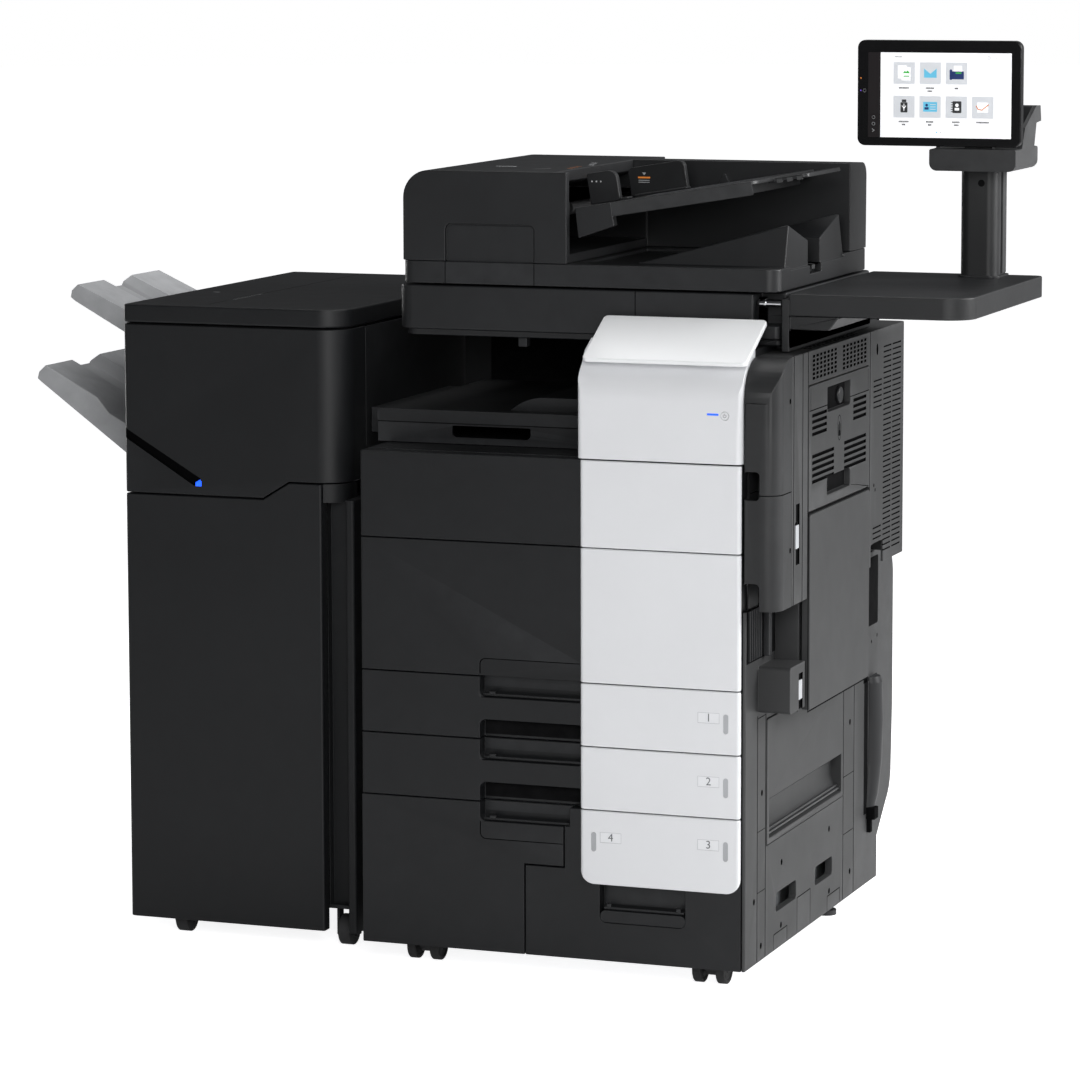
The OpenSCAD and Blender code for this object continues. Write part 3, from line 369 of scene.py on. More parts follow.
def stroke(bm, axis, at, depth, pts, w):
    """A line of thickness w through the points."""
    for (u0, v0), (u1, v1) in zip(pts, pts[1:]):
        d = math.hypot(u1 - u0, v1 - v0)
        eu, ev = (u1 - u0) / d * w / 2, (v1 - v0) / d * w / 2
        add_prism(bm, [(u0 - eu + ev, v0 - ev - eu), (u1 + eu + ev, v1 + ev - eu),
                       (u1 + eu - ev, v1 + ev + eu), (u0 - eu - ev, v0 - ev + eu)], axis, at, at + depth)


def body_of(node):
    return NODES[node]["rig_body"]


# the cut faces take the near-black by default: painted shade inside slots, seams, grooves and holes
def dress(node, mat, bevel=0.8, cuts=None, segments=3, inside="dark", clamp=False):
    """The finished piece that stands for one CAD node."""
    me = node_mesh(node, bevel, segments, clamp)
    me.materials.append(M[mat])
    if cuts:
        bm = bmesh.new()
        cuts(bm)
        me = cut(me, bm, inside)
    return show(node + "_piece", me, body_of(node), mat, (node,))


def extra(name, body, mat, build, flat=False):
    """A detail piece on a body."""
    bm = bmesh.new()
    build(bm)
    return show(name, fresh_mesh(name, bm), body, mat, flat=flat)


def repaint(ob, mat, test):
    """Gives the faces that pass the test another material."""
    ob.data.materials.append(M[mat])
    for face in ob.data.polygons:
        if test(ob.matrix_world @ face.center, face.normal):
            face.material_index = len(ob.data.materials) - 1


# ---------- finisher ----------

dress("finisher_body", "metal", 0.6)
dress("finisher_front_door", "front", 1.6)


def groove_cut(bm):
    add_prism(bm, [(-423, 806), (-423, 791), (-303, 717.5), (-291.5, 717.5), (-291.5, 729)], "y", 60, 65.4)


dress("finisher_upper_cover", "front", 1.4, groove_cut)
extra("finisher_lid_shade", "machine", "dark", lambda bm: add_prism(
    bm, [(-416.5, 67)] + arc(-95, 107, 40, -90, 0, 6) + [(-55, 721), (-416.5, 721)], "z", 961, 967.5), True)


def top_cover_cuts(bm):
    # two seams of the lid's middle panel and the finger mark
    add_box(bm, (-291, 100, 996.2), (-289.6, 700, 998))
    add_box(bm, (-412, 330, 996.2), (-330, 331.2, 998))


dress("finisher_top_cover", "front", 3.2, top_cover_cuts, segments=4)
extra("finisher_lid_marks", "finisher_top_cover", "print", lambda bm: (
    add_prism(bm, rounded(-378, 305, -366, 308, 1.2), "z", 996.9, 997.0),
    add_prism(bm, rounded(-289.0, 186, -288.2, 300, 0.3), "z", 996.9, 997.0)))
extra("finisher_lamp", "machine", "blue", lambda bm: add_prism(
    bm, [(-300, 716.5), (-289.5, 716.5), (-289.5, 724.5), (-292.5, 727), (-300, 722.5)],
    "y", 61.6, 65.5, 0.7))


def channel_cut(a, b):
    """Deepens a tray's hand channel along the line from a to b, both (x, z)."""
    def build(bm):
        section = [(337, 30), (337, -2), (351, -22), (426, -22), (440, -2), (440, 30)]
        ends = []
        for x in (a[0] - 30, b[0]):
            z = a[1] + (b[1] - a[1]) * (x - a[0]) / (b[0] - a[0])
            ends.append([bm.verts.new(pt(x, y, z + dz)) for y, dz in section])
        faces = [bm.faces.new(ends[0][::-1]), bm.faces.new(ends[1])]
        for i in range(6):
            k = (i + 1) % 6
            faces.append(bm.faces.new((ends[0][i], ends[0][k], ends[1][k], ends[1][i])))
        bmesh.ops.recalc_face_normals(bm, faces=faces)
    return build


dress("upper_exit_tray", "tray", 2.0, channel_cut((-598, 1015), (-421, 934)), inside="tray", clamp=True)
dress("lower_exit_tray", "tray", 2.0, channel_cut((-660, 885), (-500, 803)), inside="tray", clamp=True)
dress("finisher_wheels", "rubber", 1.5)

# ---------- main body ----------

# the frame's bottom, right and rear faces take the dark nylon: painted shade where the steel shows through
# gaps and hand holds
repaint(dress("main_frame", "steel", 0), "fork", lambda at, normal: (
    at.z < 0.05 or at.x > ORIGIN.x + 0.592 or at.y > ORIGIN.y + 0.655))
dress("toner_door", "front", 1.2)
GRIP_X = 195    # left edge of the drawers' hand recesses
GRIP_R = 9
LINE_X = GRIP_X + 0.5
COLUMN_X = 357  # left edge of the white column
dress("front_door", "front", 1.2, lambda bm: stroke(
    bm, "y", -0.5, 2.1, [(LINE_X, 461), (LINE_X, 476)] + arc(LINE_X + GRIP_R, 475, GRIP_R, 165, 90, 5)
    + [(COLUMN_X, 484)], 1.6))
dress("exit_housing", "front", 0.8)
for n in ("1", "2"):
    dress(f"tray_{n}_front", "front", 1.1)
    dress(f"tray_{n}_box", "inner", 0.4)
    dress(f"tray_{n}_lift_plate", "plate", 0.3)
# back walls, lips and rounded corners of the hand recesses
RECESS_BACK = (19.6, 20.9)


def back_wall(bm, z0, z1):
    add_box(bm, (GRIP_X + 2, RECESS_BACK[0], z0), (COLUMN_X - 1, RECESS_BACK[1], z1))


def grip_lip(bm, z, right_end):
    add_box(bm, (GRIP_X + 3, 7, z - 1), (right_end, 10, z + 3.0), 0.8)
    add_box(bm, (GRIP_X + 13, 6, z + 2), (GRIP_X + 23, 12, z + 6.5), 1.0)


for body, z_low, z_high, right_end in (("tray_1", 427, 456, COLUMN_X), ("tray_2", 331, 360, COLUMN_X),
                                       ("left_drawer", 236.5, 264, 336)):
    extra(body + "_grip_shade", body, "front", lambda bm: back_wall(bm, z_low + 12, z_high - 1),
          True)
    extra(body + "_grip_lip", body, "feeder", lambda bm: grip_lip(bm, z_low, right_end))
for body, z_low, z_high in (("tray_1", 363, 390), ("tray_2", 267, 294)):
    extra(body + "_under_shade", body, "dark", lambda bm: back_wall(bm, z_low + 3, z_high), True)


def corner_fill(bm, x, z, up):
    """Rounds a recess corner at (x, z); up is 1 above the corner, -1 below it."""
    curve = arc(x + GRIP_R, z + GRIP_R * up, GRIP_R, -90 * up, -180 * up, 6)
    add_prism(bm, [(x - 0.5, z - 0.5 * up)] + curve, "y", 0.3, 18.5)


for body, z, up in (("tray_1", 426, 1), ("tray_2", 330, 1), ("left_drawer", 235, 1),
                    ("tray_1", 391, -1), ("tray_2", 295, -1)):
    extra(f"{body}_{'low' if up > 0 else 'high'}_corner", body, "front",
          lambda bm: corner_fill(bm, GRIP_X, z, up))
extra("right_drawer_grip_flap", "right_drawer", "front", lambda bm: add_prism(
    bm, rounded(387.3, 93.3, 521.7, 111.5, 8), "y", 1.2, 9, 0.6))
extra("right_drawer_grip_lip", "right_drawer", "feeder", lambda bm: (
    add_box(bm, (391, 7, 112), (518, 10, 116), 0.8),
    add_box(bm, (396, 6, 115), (403, 12, 121), 1.0),
    add_box(bm, (506, 6, 115), (513, 12, 121), 1.0)))
extra("right_drawer_grip_shade", "right_drawer", "front", lambda bm: add_box(
    bm, (390, RECESS_BACK[0], 118), (519, RECESS_BACK[1], 158)), True)
dress("left_drawer_front", "front", 1.1, lambda bm: stroke(
    bm, "y", -0.5, 1.8, [(LINE_X, 237), (LINE_X, 217)] + arc(LINE_X + GRIP_R, 217, GRIP_R, 195, 270, 5)
    + [(328, 208)], 1.4))
dress("right_drawer_front", "front", 1.1)
dress("left_drawer_box", "inner", 0.4)
dress("right_drawer_box", "inner", 0.4)
dress("photoconductor_drum", "drum", 0.8)
dress("fuser_roller", "fuser", 0.8)
dress("toner_bottle", "toner", 1.5)


# thin near-black patches on the back and the left side: painted shade standing for the vent openings
def back_vents(bm):
    for i in range(9):
        for k in range(16):
            add_box(bm, (150 + k * 24, 713.6, 770 + i * 14), (168 + k * 24, 714.15, 774 + i * 14))
    for i in range(12):
        add_box(bm, (-0.15, 160, 520 + i * 12), (0.4, 300, 524 + i * 12))


# the cover has fine slots of its own, so its edges stay unrounded
dress("rear_cover", "side", 0)
extra("rear_vent_shade", "machine", "dark", back_vents, True)
dress("relay_unit", "feeder", 1.2, clamp=True)
# near-black strip in the seam at the relay unit's front: painted shade
extra("relay_seam_shade", "machine", "dark", lambda bm: add_box(
    bm, (-11, 105.2, 824.6), (416, 108.2, 826.0)), True)
extra("relay_back_shade", "machine", "dark", lambda bm: add_box(
    bm, (3, 557, 794), (419, 559.5, 948)), True)
extra("cavity_boss", "machine", "feeder", lambda bm: add_box(
    bm, (210, 130, 944), (224, 146, 959), 1.5))


# ---------- white column ----------

Label = namedtuple("Label", "x0 z0 x1 z1 number window")
BEFORE_TRIM = -7.6  # y of a cutter's start in front of the white trims


def label(number, x, z, window_x, window_z):
    """A drawer's number label and the upright paper window beside it."""
    window = (window_x, window_z, window_x + 7.8, window_z + 30)
    return Label(x, z, x + 33.5, z + 16, number, window)


TRIM_LABELS = {
    "tray_1_trim": [label(1, 543.5, 408, 583.2, 393)],
    "tray_2_trim": [label(2, 543.5, 312, 583.2, 297)],
    "right_drawer_trim": [label(3, 543.5, 216.5, 583.2, 201), label(4, 390, 216.5, 376, 202)],
}


def figure_mesh(text, size):
    """A numeral as a thin mesh about its own centre; size in metres."""
    cu = bpy.data.curves.new("figure", "FONT")
    cu.body = text
    cu.size = size
    cu.align_x = "CENTER"
    cu.align_y = "CENTER"
    cu.extrude = 0.00008
    ob = bpy.data.objects.new("figure", cu)
    bpy.context.scene.collection.objects.link(ob)
    dg = bpy.context.evaluated_depsgraph_get()
    me = bpy.data.meshes.new_from_object(ob.evaluated_get(dg))
    bpy.data.objects.remove(ob)
    return me


def label_cuts(bm, labels):
    """Recesses of the labels and their windows."""
    for tag in labels:
        x0, z0, x1, z1 = tag.window
        add_prism(bm, rounded(x0, z0, x1, z1, (x1 - x0) / 2 - 0.05), "y", BEFORE_TRIM, -6.0)
        add_box(bm, (tag.x0, BEFORE_TRIM, tag.z0), (tag.x1, -6.72, tag.z1))


def window_panes(bm, labels):
    for tag in labels:
        x0, z0, x1, z1 = tag.window
        add_prism(bm, rounded(x0 + 0.3, z0 + 0.3, x1 - 0.3, z1 - 0.3, 3.4), "y", -6.9, -6.1)


def label_borders(bm, labels):
    for tag in labels:
        frame_lines(bm, "y", -6.86, tag.x0, tag.z0, tag.x1, tag.z1, 0.5, 0.3)


def label_pieces(base, body, labels):
    """The window panes, label borders and numerals of one trim."""
    extra(base + "_windows", body, "label", lambda bm: window_panes(bm, labels))
    extra(base + "_label_lines", body, "label", lambda bm: label_borders(bm, labels), True)
    figures = bmesh.new()
    for tag in labels:
        me = figure_mesh(str(tag.number), 0.017)
        me.transform(Matrix.Translation(pt((tag.x0 + tag.x1) / 2, -6.80, (tag.z0 + tag.z1) / 2))
                     @ Matrix.Rotation(math.radians(90), 4, "X"))
        figures.from_mesh(me)
    show(base + "_figures", fresh_mesh(base + "_figures", figures), body, "figure", flat=True)


for trim in ("toner_door_trim", "front_door_trim", "tray_1_trim", "tray_2_trim", "right_drawer_trim"):
    labels = TRIM_LABELS.get(trim, [])
    cuts = (lambda bm: label_cuts(bm, labels)) if labels else None
    # the label recesses' cut faces take the lighter white: painted light in the recesses
    dress(trim, "white", 2.2, cuts, 5, "recess_white_lit")
    if labels:
        label_pieces(trim.replace("_trim", ""), body_of(trim), labels)

dress("white_upper_panel", "white", 1.2, lambda bm: add_prism(
    bm, rounded(556.7, 866.3, 574.8, 869.3, 1.3), "y", -7.6, -6.5), 4)
dress("top_plate", "plate_white", 2.0, segments=4)
extra("status_lamp", "machine", "blue", lambda bm: add_prism(
    bm, rounded(557, 866.6, 574.5, 869.0, 1.1), "y", -6.9, -6.4), True)
dress("power_key", "white", 0.5)


def power_icon(bm):
    x, z = 584, 866
    stroke(bm, "y", -6.85, 0.2, arc(x, z, 2.3, 125, 415, 14), 0.5)
    stroke(bm, "y", -6.85, 0.2, [(x, z + 0.6), (x, z + 3.2)], 0.5)


extra("power_icon", "power_key", "figure", power_icon, True)


# ---------- right side ----------

# X just outside the covers, the doors and the lower side, where the cutters end
PAST_COVER, PAST_DOOR, PAST_LOWER = 667, 668, 617


def screw_holes(bm, points, x0, x1, ry=4.0, rz=4.2):
    for y, z in points:
        add_prism(bm, disc(y, z, ry, 16, rz), "x", x0, x1)


def front_cover_cuts(bm):
    screw_holes(bm, [(57, 884), (59, 662)], 663, PAST_COVER)
    add_box(bm, (600, -2, 748.5), (PAST_DOOR, 70, 750))


dress("right_front_cover", "cover", 1.0, front_cover_cuts)


def rear_side_cuts(bm):
    for y0, y1 in ((167, 300), (326, 462)):
        for k in range(7):
            for i in range(6):
                y = y0 + (y1 - y0) * k / 7 + 3
                z = 904.5 + i * 6.6
                add_prism(bm, rounded(y, z, y + 12, z + 4.2, 1.4, 2), "x", 662.6, PAST_COVER)
    for i in range(40):
        z = 594 + i * 8.3
        for y0, y1 in ((556, 600), (608, 656)):
            add_box(bm, (663.0, y0, z), (PAST_COVER, y1, z + 2.4))
        if i < 6 or 28 <= i < 34:
            add_box(bm, (663.0, 500, z), (PAST_COVER, 546, z + 2.4))
    for y in (74, 119, 146, 478.5):
        add_box(bm, (663.0, y, 570), (PAST_COVER, y + 3.0, 950))
    add_box(bm, (663, 88, 636), (PAST_COVER, 106, 727))
    screw_holes(bm, [(505, 705), (512, 697), (500, 586)], 662.5, PAST_COVER, 2.4, 3.0)
    screw_holes(bm, [(520, 918)], 662.5, PAST_COVER, 5.0, 9.0)
    for k in range(12):  # grille in the top face
        for i in range(5):
            add_box(bm, (622 + i * 7, 190 + k * 22, 947.2), (626 + i * 7, 206 + k * 22, 950))


dress("right_rear_cover", "side", 1.2, rear_side_cuts)
extra("toner_lever", "machine", "lever", lambda bm: add_box(
    bm, (662.5, 89, 660), (664.6, 105, 695), 0.5))


def right_door_cuts(bm):
    for y0, y1, z0, n, step, h in ((165, 242, 820, 4, 9.4, 5.0), (384, 455, 821, 4, 9.4, 5.0),
                                   (166, 281, 748, 5, 9.6, 5.2), (335, 455, 750, 5, 9.6, 5.2)):
        for i in range(n):
            add_box(bm, (663.2, y0, z0 + i * step), (PAST_DOOR, y1, z0 + i * step + h))
    add_box(bm, (664.8, 152, 858.5), (PAST_DOOR, 245, 860))
    add_box(bm, (664.8, 369, 858.5), (PAST_DOOR, 471, 860))
    for y in (157, 465):
        add_box(bm, (665.0, y, 859), (PAST_DOOR, y + 1.2, 893))


dress("right_door", "side", 1.2, right_door_cuts)
# near-black sheets at the floors of the door's two recesses: painted shade
extra("right_door_recess_shade", "right_door", "dark", lambda bm: (
    add_box(bm, (656.05, 247, 849), (656.9, 367, 885)),
    add_box(bm, (656.05, 247, 723), (656.9, 367, 749))), True)
extra("right_door_latch", "right_door", "feeder", lambda bm: add_prism(
    bm, disc(330, 866, 13), "x", 656.5, 662.5, 2.5, 3))


def hand_icon(bm):
    stroke(bm, "x", 665.9, 0.15, ring(309, 818, 9.5, 24, 19), 1.3)
    for dy, top in ((-4.5, 822), (-1.5, 826), (1.5, 827), (4.5, 823)):
        stroke(bm, "x", 665.9, 0.15, [(309 + dy, 812), (309 + dy, top)], 2.0)
    add_prism(bm, rounded(303, 805, 315, 814, 3), "x", 665.9, 666.05)


extra("right_door_icon", "right_door", "dark", hand_icon, True)
dress("bypass_tray", "side", 1.4)
# near-black bars round the bypass tray: painted shade in the gap round it
extra("bypass_gap_shade", "machine", "dark", lambda bm: frame_lines(
    bm, "x", 665.6, 148.6, 404.0, 474.4, 706.0, 2.0, 0.6), True)
extra("void_shade", "machine", "dark", lambda bm: add_box(
    bm, (614.6, 6, 496.5), (615.8, 145, 576)), True)
extra("void_ribs", "machine", "feeder", lambda bm: [
    add_box(bm, (615.6, 12 + 9 * k, 500), (619, 14.5 + 9 * k, 575), 0.4) for k in range(7)] + [
    add_box(bm, (615.6, 84, 498), (626, 98, 576), 2.0)])
extra("rear_opening_shade", "machine", "dark", lambda bm: (
    add_prism(bm, rounded(650, 455, 706, 566, 4), "x", 614.6, 615.6),
    add_box(bm, (614.4, 632, 150), (615.4, 652, 366))), True)


def pipe(bm):
    """Pipe on the rear right edge, narrower towards its lower end; its sections are (z, y, radius)."""
    sides = 20
    sections = ((372, 676, 17), (362, 677, 20), (300, 679, 21), (230, 675, 20), (180, 666, 17), (158, 660, 13))
    for upper, lower in zip(sections, sections[1:]):
        low, high = [[bm.verts.new(pt(u, v, z)) for u, v in disc(612, y, r, sides)]
                     for z, y, r in (lower, upper)]
        for a in range(sides):
            b = (a + 1) % sides
            bm.faces.new((low[a], low[b], high[b], high[a]))
        bm.faces.new(low[::-1])
        bm.faces.new(high)


extra("rear_pipe", "machine", "feeder", pipe)
extra("rear_pipe_clip", "machine", "dark", lambda bm: (
    add_box(bm, (614, 646, 140), (630, 668, 160), 2.0),
    add_box(bm, (614, 650, 118), (622, 660, 140), 1.5)))
extra("bypass_tray_band", "bypass_tray", "cover", lambda bm: add_box(
    bm, (655.5, 153, 407.4), (667.9, 470, 418), 1.2))


def lower_side_cuts(bm):
    screw_holes(bm, [(84, 290), (551, 317), (437, 166), (185, 164), (183, 67), (439, 66), (46, 131), (81, 57),
                     (554, 74)], 612.5, 616.5, 4.4, 4.8)
    for y in (60, 101, 513, 573):
        add_box(bm, (613.8, y, 30), (PAST_LOWER, y + 2.8, 410 if y < 480 else 580))
    for y0, y1, z1 in ((145, 215, 60), (266, 337, 92), (428, 498, 60)):
        frame_lines(bm, "x", 614.0, y0, 30, y1, z1, 1.6, 3)
    for z in (405.5, 233, 140):
        add_box(bm, (614.0, 61, z), (PAST_LOWER, 100, z + 1.1))
        add_box(bm, (614.0, 514, z), (PAST_LOWER, 572, z + 1.1))
    # dark opening beside the bypass tray and its ledge
    add_prism(bm, rounded(651, 472, 737, 566, 4), "x", 611.5, PAST_LOWER)
    add_box(bm, (612.5, 627, 366), (PAST_LOWER, 712, 372))
    screw_holes(bm, [(672, 428), (704, 434)], 612.5, 616.5, 2.2, 3.2)
    # slots of the connector block's white lever and of the second lever
    add_box(bm, (612.4, 107, 309), (PAST_LOWER, 122, 389))
    add_box(bm, (662.6, 106, 412), (PAST_COVER, 126, 470))


dress("right_lower_cover", "side", 1.0, lower_side_cuts)
extra("side_levers", "machine", "lever", lambda bm: (
    add_box(bm, (612.6, 108, 336), (614.8, 121, 384), 0.4),
    add_box(bm, (662.8, 107, 430), (664.8, 125, 459), 0.4)))
dress("lower_right_door", "side", 0.9)
extra("pocket_ridges", "lower_right_door", "cover", lambda bm: [add_prism(
    bm, [(606.0 + d, 226 - d * 1.5), (609.5 + d, 226 - d * 1.5), (609.5 + d, 223 - d * 1.5)], "y", 120, 498)
    for d in (0.0, 3.0)])


# ---------- casters ----------

for n in ("front_left", "front_right"):
    dress(n + "_caster_fork", "fork", 1.2)
    dress(n + "_caster_wheels", "rubber", 1.6)
dress("rear_wheels", "rubber", 1.6)

# ---------- scanner and feeder ----------


def scanner_cuts(bm):
    add_box(bm, (405, 107, 958), (406.4, 109.2, 1037))
    add_box(bm, (629, 300, 960), (631, 301.2, 1035))


dress("scanner_housing", "feeder", 2.6, scanner_cuts, segments=4)
dress("platen_glass", "glass", 0.3)
dress("scanner_carriage", "inner", 0.5)


def feeder_base_cuts(bm):
    add_box(bm, (99.4, 107, 1038), (100.6, 109, 1074))
    add_box(bm, (243.4, 107, 1038), (244.6, 109, 1074))


dress("adf_base", "feeder", 1.6, feeder_base_cuts, segments=3)
extra("white_press_pad", "feeder", "pad", lambda bm: add_box(
    bm, (106, 156, 1036.5), (574, 479, 1038.9), 0.8))
dress("adf_body", "feeder", 1.4)
dress("adf_feed_cover", "feeder", 1.4)
dress("adf_pickup_roller", "rubber", 0.8)


def recess_door(bm):
    add_prism(bm, rounded(102.5, 1041, 241.5, 1128, 8, 6), "y", 112.4, 113.8, 0.5)


extra("feeder_jam_door", "feeder", "feeder", recess_door)


def size_marks(bm):
    for k, (x, y) in enumerate(((215, 190), (221, 199), (227, 208))):
        add_box(bm, (x, y, 1210.9), (x + 9, y + 1.6, 1211.0))
    for k in range(6):
        add_box(bm, (262 - 4 * k, 300 + 14 * k, 1210.9), (272 - 4 * k, 303 + 14 * k, 1211.0))


extra("size_marks_pale", "feed_cover", "print", size_marks, True)
# the orange print glows a little: painted glow
extra("size_marks_orange", "feed_cover", "orange", lambda bm: [
    add_box(bm, (258 - 1.2 * k, 215 + 17 * k, 1210.9), (267 - 1.2 * k, 217.4 + 17 * k, 1211.0))
    for k in range(4)], True)
extra("feeder_lamp_window", "feed_cover", "print", lambda bm: add_prism(
    bm, rounded(133, 237, 168, 243, 2.9), "z", 1210.6, 1211.0), True)

SLOPE = math.radians(9.3)
TRAY_START = (310.0, 1133.8)


def on_tray(x, y, z):
    """Machine point of a place on the sloping document tray."""
    return (TRAY_START[0] + x * math.cos(SLOPE) - z * math.sin(SLOPE), y,
            TRAY_START[1] + x * math.sin(SLOPE) + z * math.cos(SLOPE))


def tray_box(bm, lo, hi, r=0.0):
    """Box laid along the sloping tray."""
    size = Vector(hi) - Vector(lo)
    mid = on_tray(*((Vector(lo) + Vector(hi)) / 2))
    m = Matrix.Translation(pt(*mid)) @ Matrix.Rotation(-SLOPE, 4, "Y") @ Matrix.Diagonal((*(size / 1000), 1))
    geo = bmesh.ops.create_cube(bm, size=1, matrix=m)
    if r > 0:
        edges = list({e for v in geo["verts"] for e in v.link_edges})
        bmesh.ops.bevel(bm, geom=edges, offset=r / 1000, segments=2, affect="EDGES", clamp_overlap=True)


dress("document_tray", "feeder", 1.3)
extra("document_tray_rim", "document_tray", "cover", lambda bm: (
    tray_box(bm, (6, 134.6, 3), (276, 137.4, 23.5), 0.8)))
extra("document_tray_ribs", "document_tray", "inner", lambda bm: [
    tray_box(bm, (70, y, 24), (262, y + 2.2, 24.9), 0.4) for y in (250, 280)])
extra("document_tray_notches", "document_tray", "side", lambda bm: [
    tray_box(bm, (x, 234.4, 14), (x + 9, 238, 20), 0.5) for x in (284, 300, 316)])
dress("document_front_guide", "feeder", 1.4, segments=4)
dress("document_rear_guide", "feeder", 1.4, segments=4)
extra("front_guide_dots", "front_guide", "print", lambda bm: [
    add_prism(bm, disc(x, 1193.2, 1.3, 12), "y", 195.8, 196.1) for x in (306, 313, 320)], True)
extra("rear_guide_arrow", "rear_guide", "print", lambda bm: (
    add_prism(bm, [(322, 1196.5), (328, 1196.5), (325, 1192.5)], "y", 383.8, 384.1),
    *[add_box(bm, (316, 383.8, z), (334, 384.1, z + 0.9)) for z in (1184, 1181)]), True)
extra("rear_guide_mark", "rear_guide", "orange", lambda bm: add_box(
    bm, (315, 383.8, 1187.5), (335, 384.1, 1190)), True)


def rear_wall_ribs(bm):
    for x, z in ((352, 1164), (426, 1177)):
        add_prism(bm, [(x - 14, z - 14), (x + 14, z - 14), (x + 2, z + 14), (x - 2, z + 14)],
                  "y", 477.5, 483, 0.8)


extra("rear_wall_ribs", "feeder", "feeder", rear_wall_ribs)
extra("output_stopper", "feeder", "side", lambda bm: (
    add_box(bm, (606, 289, 1068), (612, 313, 1098), 1.0),
    add_box(bm, (610, 293, 1060), (626, 309, 1068), 1.0)))

# ---------- table, post and screen ----------

# the table's top faces take the darker front black: painted shade on the top
repaint(dress("work_table", "cover", 2.2, segments=4), "front", lambda at, normal: normal.z > 0.98)
extra("table_pin", "machine", "chrome", lambda bm: (
    add_prism(bm, disc(126, 1022, 5.6), "x", 596, 631, 1.0),
    add_prism(bm, disc(126, 1022, 7.2), "x", 603, 607, 0.8)))


dress("monitor_post", "cover", 1.0, clamp=True)
# near-black disc inside the post's screw hole: painted shade
extra("post_screw_hole_shade", "machine", "dark", lambda bm: add_prism(
    bm, disc(836, 1183, 5.4, 20), "y", 496.8, 505), True)
extra("post_edge_strip", "machine", "side", lambda bm: add_box(
    bm, (860.2, 534, 1042), (861.4, 556, 1200), 0.4))
# the bracket's right-facing faces take the lighter side plastic: painted light from the right
repaint(dress("monitor_bracket", "cover", 1.2, clamp=True), "side", lambda at, normal: normal.x > 0.5)
dress("touch_monitor", "bezel", 2.0, segments=4)
dress("monitor_button", "front", 0.6)
SCREEN = (690.0, 1254.6, 896.5, 1384.6)  # lit area: left, low, right, high
FACE = 440.0                             # y of the screen's front
TILE_Y = FACE - 0.12                     # y of the icon tiles' front
TILE_LEFT, TILE_STEP = 710.5, 41.4
TILE_W, TILE_H = 34, 33.5
TILE_ROWS = ((1336.5, 3), (1285.0, 4))   # lower edge of each row and its number of tiles


def tiles(bm):
    for z, cols in TILE_ROWS:
        for c in range(cols):
            x = TILE_LEFT + c * TILE_STEP
            right, high = x + TILE_W, z + TILE_H
            add_prism(bm, [(x, z), (right, z), (right, high), (x, high)], "y", TILE_Y, FACE)


def at_tile(row, col):
    """Middle of an icon."""
    return TILE_LEFT + col * TILE_STEP + 17, TILE_ROWS[row][0] + 17


def plate(bm, pts, lift):
    """Part of an icon, in the layer lift over the tile."""
    add_prism(bm, pts, "y", TILE_Y - 0.06 * lift, FACE - 0.10 - 0.06 * (lift - 1))


def rect(cx, cz, w, h):
    left, low, right, high = cx - w / 2, cz - h / 2, cx + w / 2, cz + h / 2
    return [(left, low), (right, low), (right, high), (left, high)]


def paper_parts(bm):
    x, z = at_tile(0, 0)
    plate(bm, rect(x - 3, z + 1.5, 14, 20), 1)
    plate(bm, rect(x + 3, z - 1.5, 14, 20), 2)
    x, z = at_tile(0, 2)
    plate(bm, rect(x + 2, z + 7, 13, 9), 1)
    x, z = at_tile(1, 3)
    plate(bm, rect(x, z, 17, 15), 1)
    x, z = at_tile(1, 2)
    plate(bm, disc(x + 1, z + 3, 2.6, 12), 3)
    plate(bm, rect(x + 1, z - 3, 7, 4), 3)
    x, z = at_tile(1, 0)
    stroke(bm, "y", FACE - 0.34, 0.06, [(x, z - 6), (x, z + 4)], 1.0)
    stroke(bm, "y", FACE - 0.34, 0.06, [(x - 3, z + 1), (x, z - 3), (x + 3, z + 1)], 0.9)


def cyan_parts(bm):
    x, z = at_tile(0, 1)
    plate(bm, rect(x, z, 20, 14), 1)
    x, z = at_tile(1, 1)
    plate(bm, rect(x, z, 22, 15), 1)
    plate(bm, disc(779.5, 1263, 1.2, 12), 1)


def navy_parts(bm):
    x, z = at_tile(0, 2)
    plate(bm, rect(x + 2, z - 3, 19, 12), 2)
    plate(bm, rounded(x - 11, z - 10, x - 7, z + 6, 1.8, 3), 2)
    x, z = at_tile(1, 1)
    plate(bm, disc(x - 5.5, z + 2.5, 2.1, 12), 2)
    plate(bm, rect(x - 5.5, z - 2.4, 6.5, 3.6), 2)


def green_parts(bm):
    x, z = at_tile(0, 0)
    plate(bm, [(x - 2, z - 0.5), (x + 9, z - 0.5), (x + 6, z + 4), (x + 3, z + 1.5), (x + 1, z + 3.4)], 3)
    plate(bm, rect(x + 3.5, z - 5, 9, 1.6), 3)
    x, z = at_tile(0, 2)
    plate(bm, rect(x + 3, z + 0.6, 9, 2.2), 3)


def dark_parts(bm):
    x, z = at_tile(1, 0)
    plate(bm, rounded(x - 5.5, z - 9, x + 5.5, z + 6.5, 1, 2), 1)
    plate(bm, rect(x, z + 8.8, 7, 4), 1)
    x, z = at_tile(1, 2)
    plate(bm, rounded(x - 6, z - 9, x + 8, z + 9, 1, 2), 1)
    for k in range(5):
        plate(bm, rect(x - 7, z - 7 + 3.5 * k, 3, 1.2), 2)


def colour_swirl(bm):
    x, z = at_tile(1, 3)
    stroke(bm, "y", FACE - 0.30, 0.06, [(x - 10, z + 2), (x - 7, z - 3), (x - 1, z - 4), (x + 9, z + 4)], 1.4)


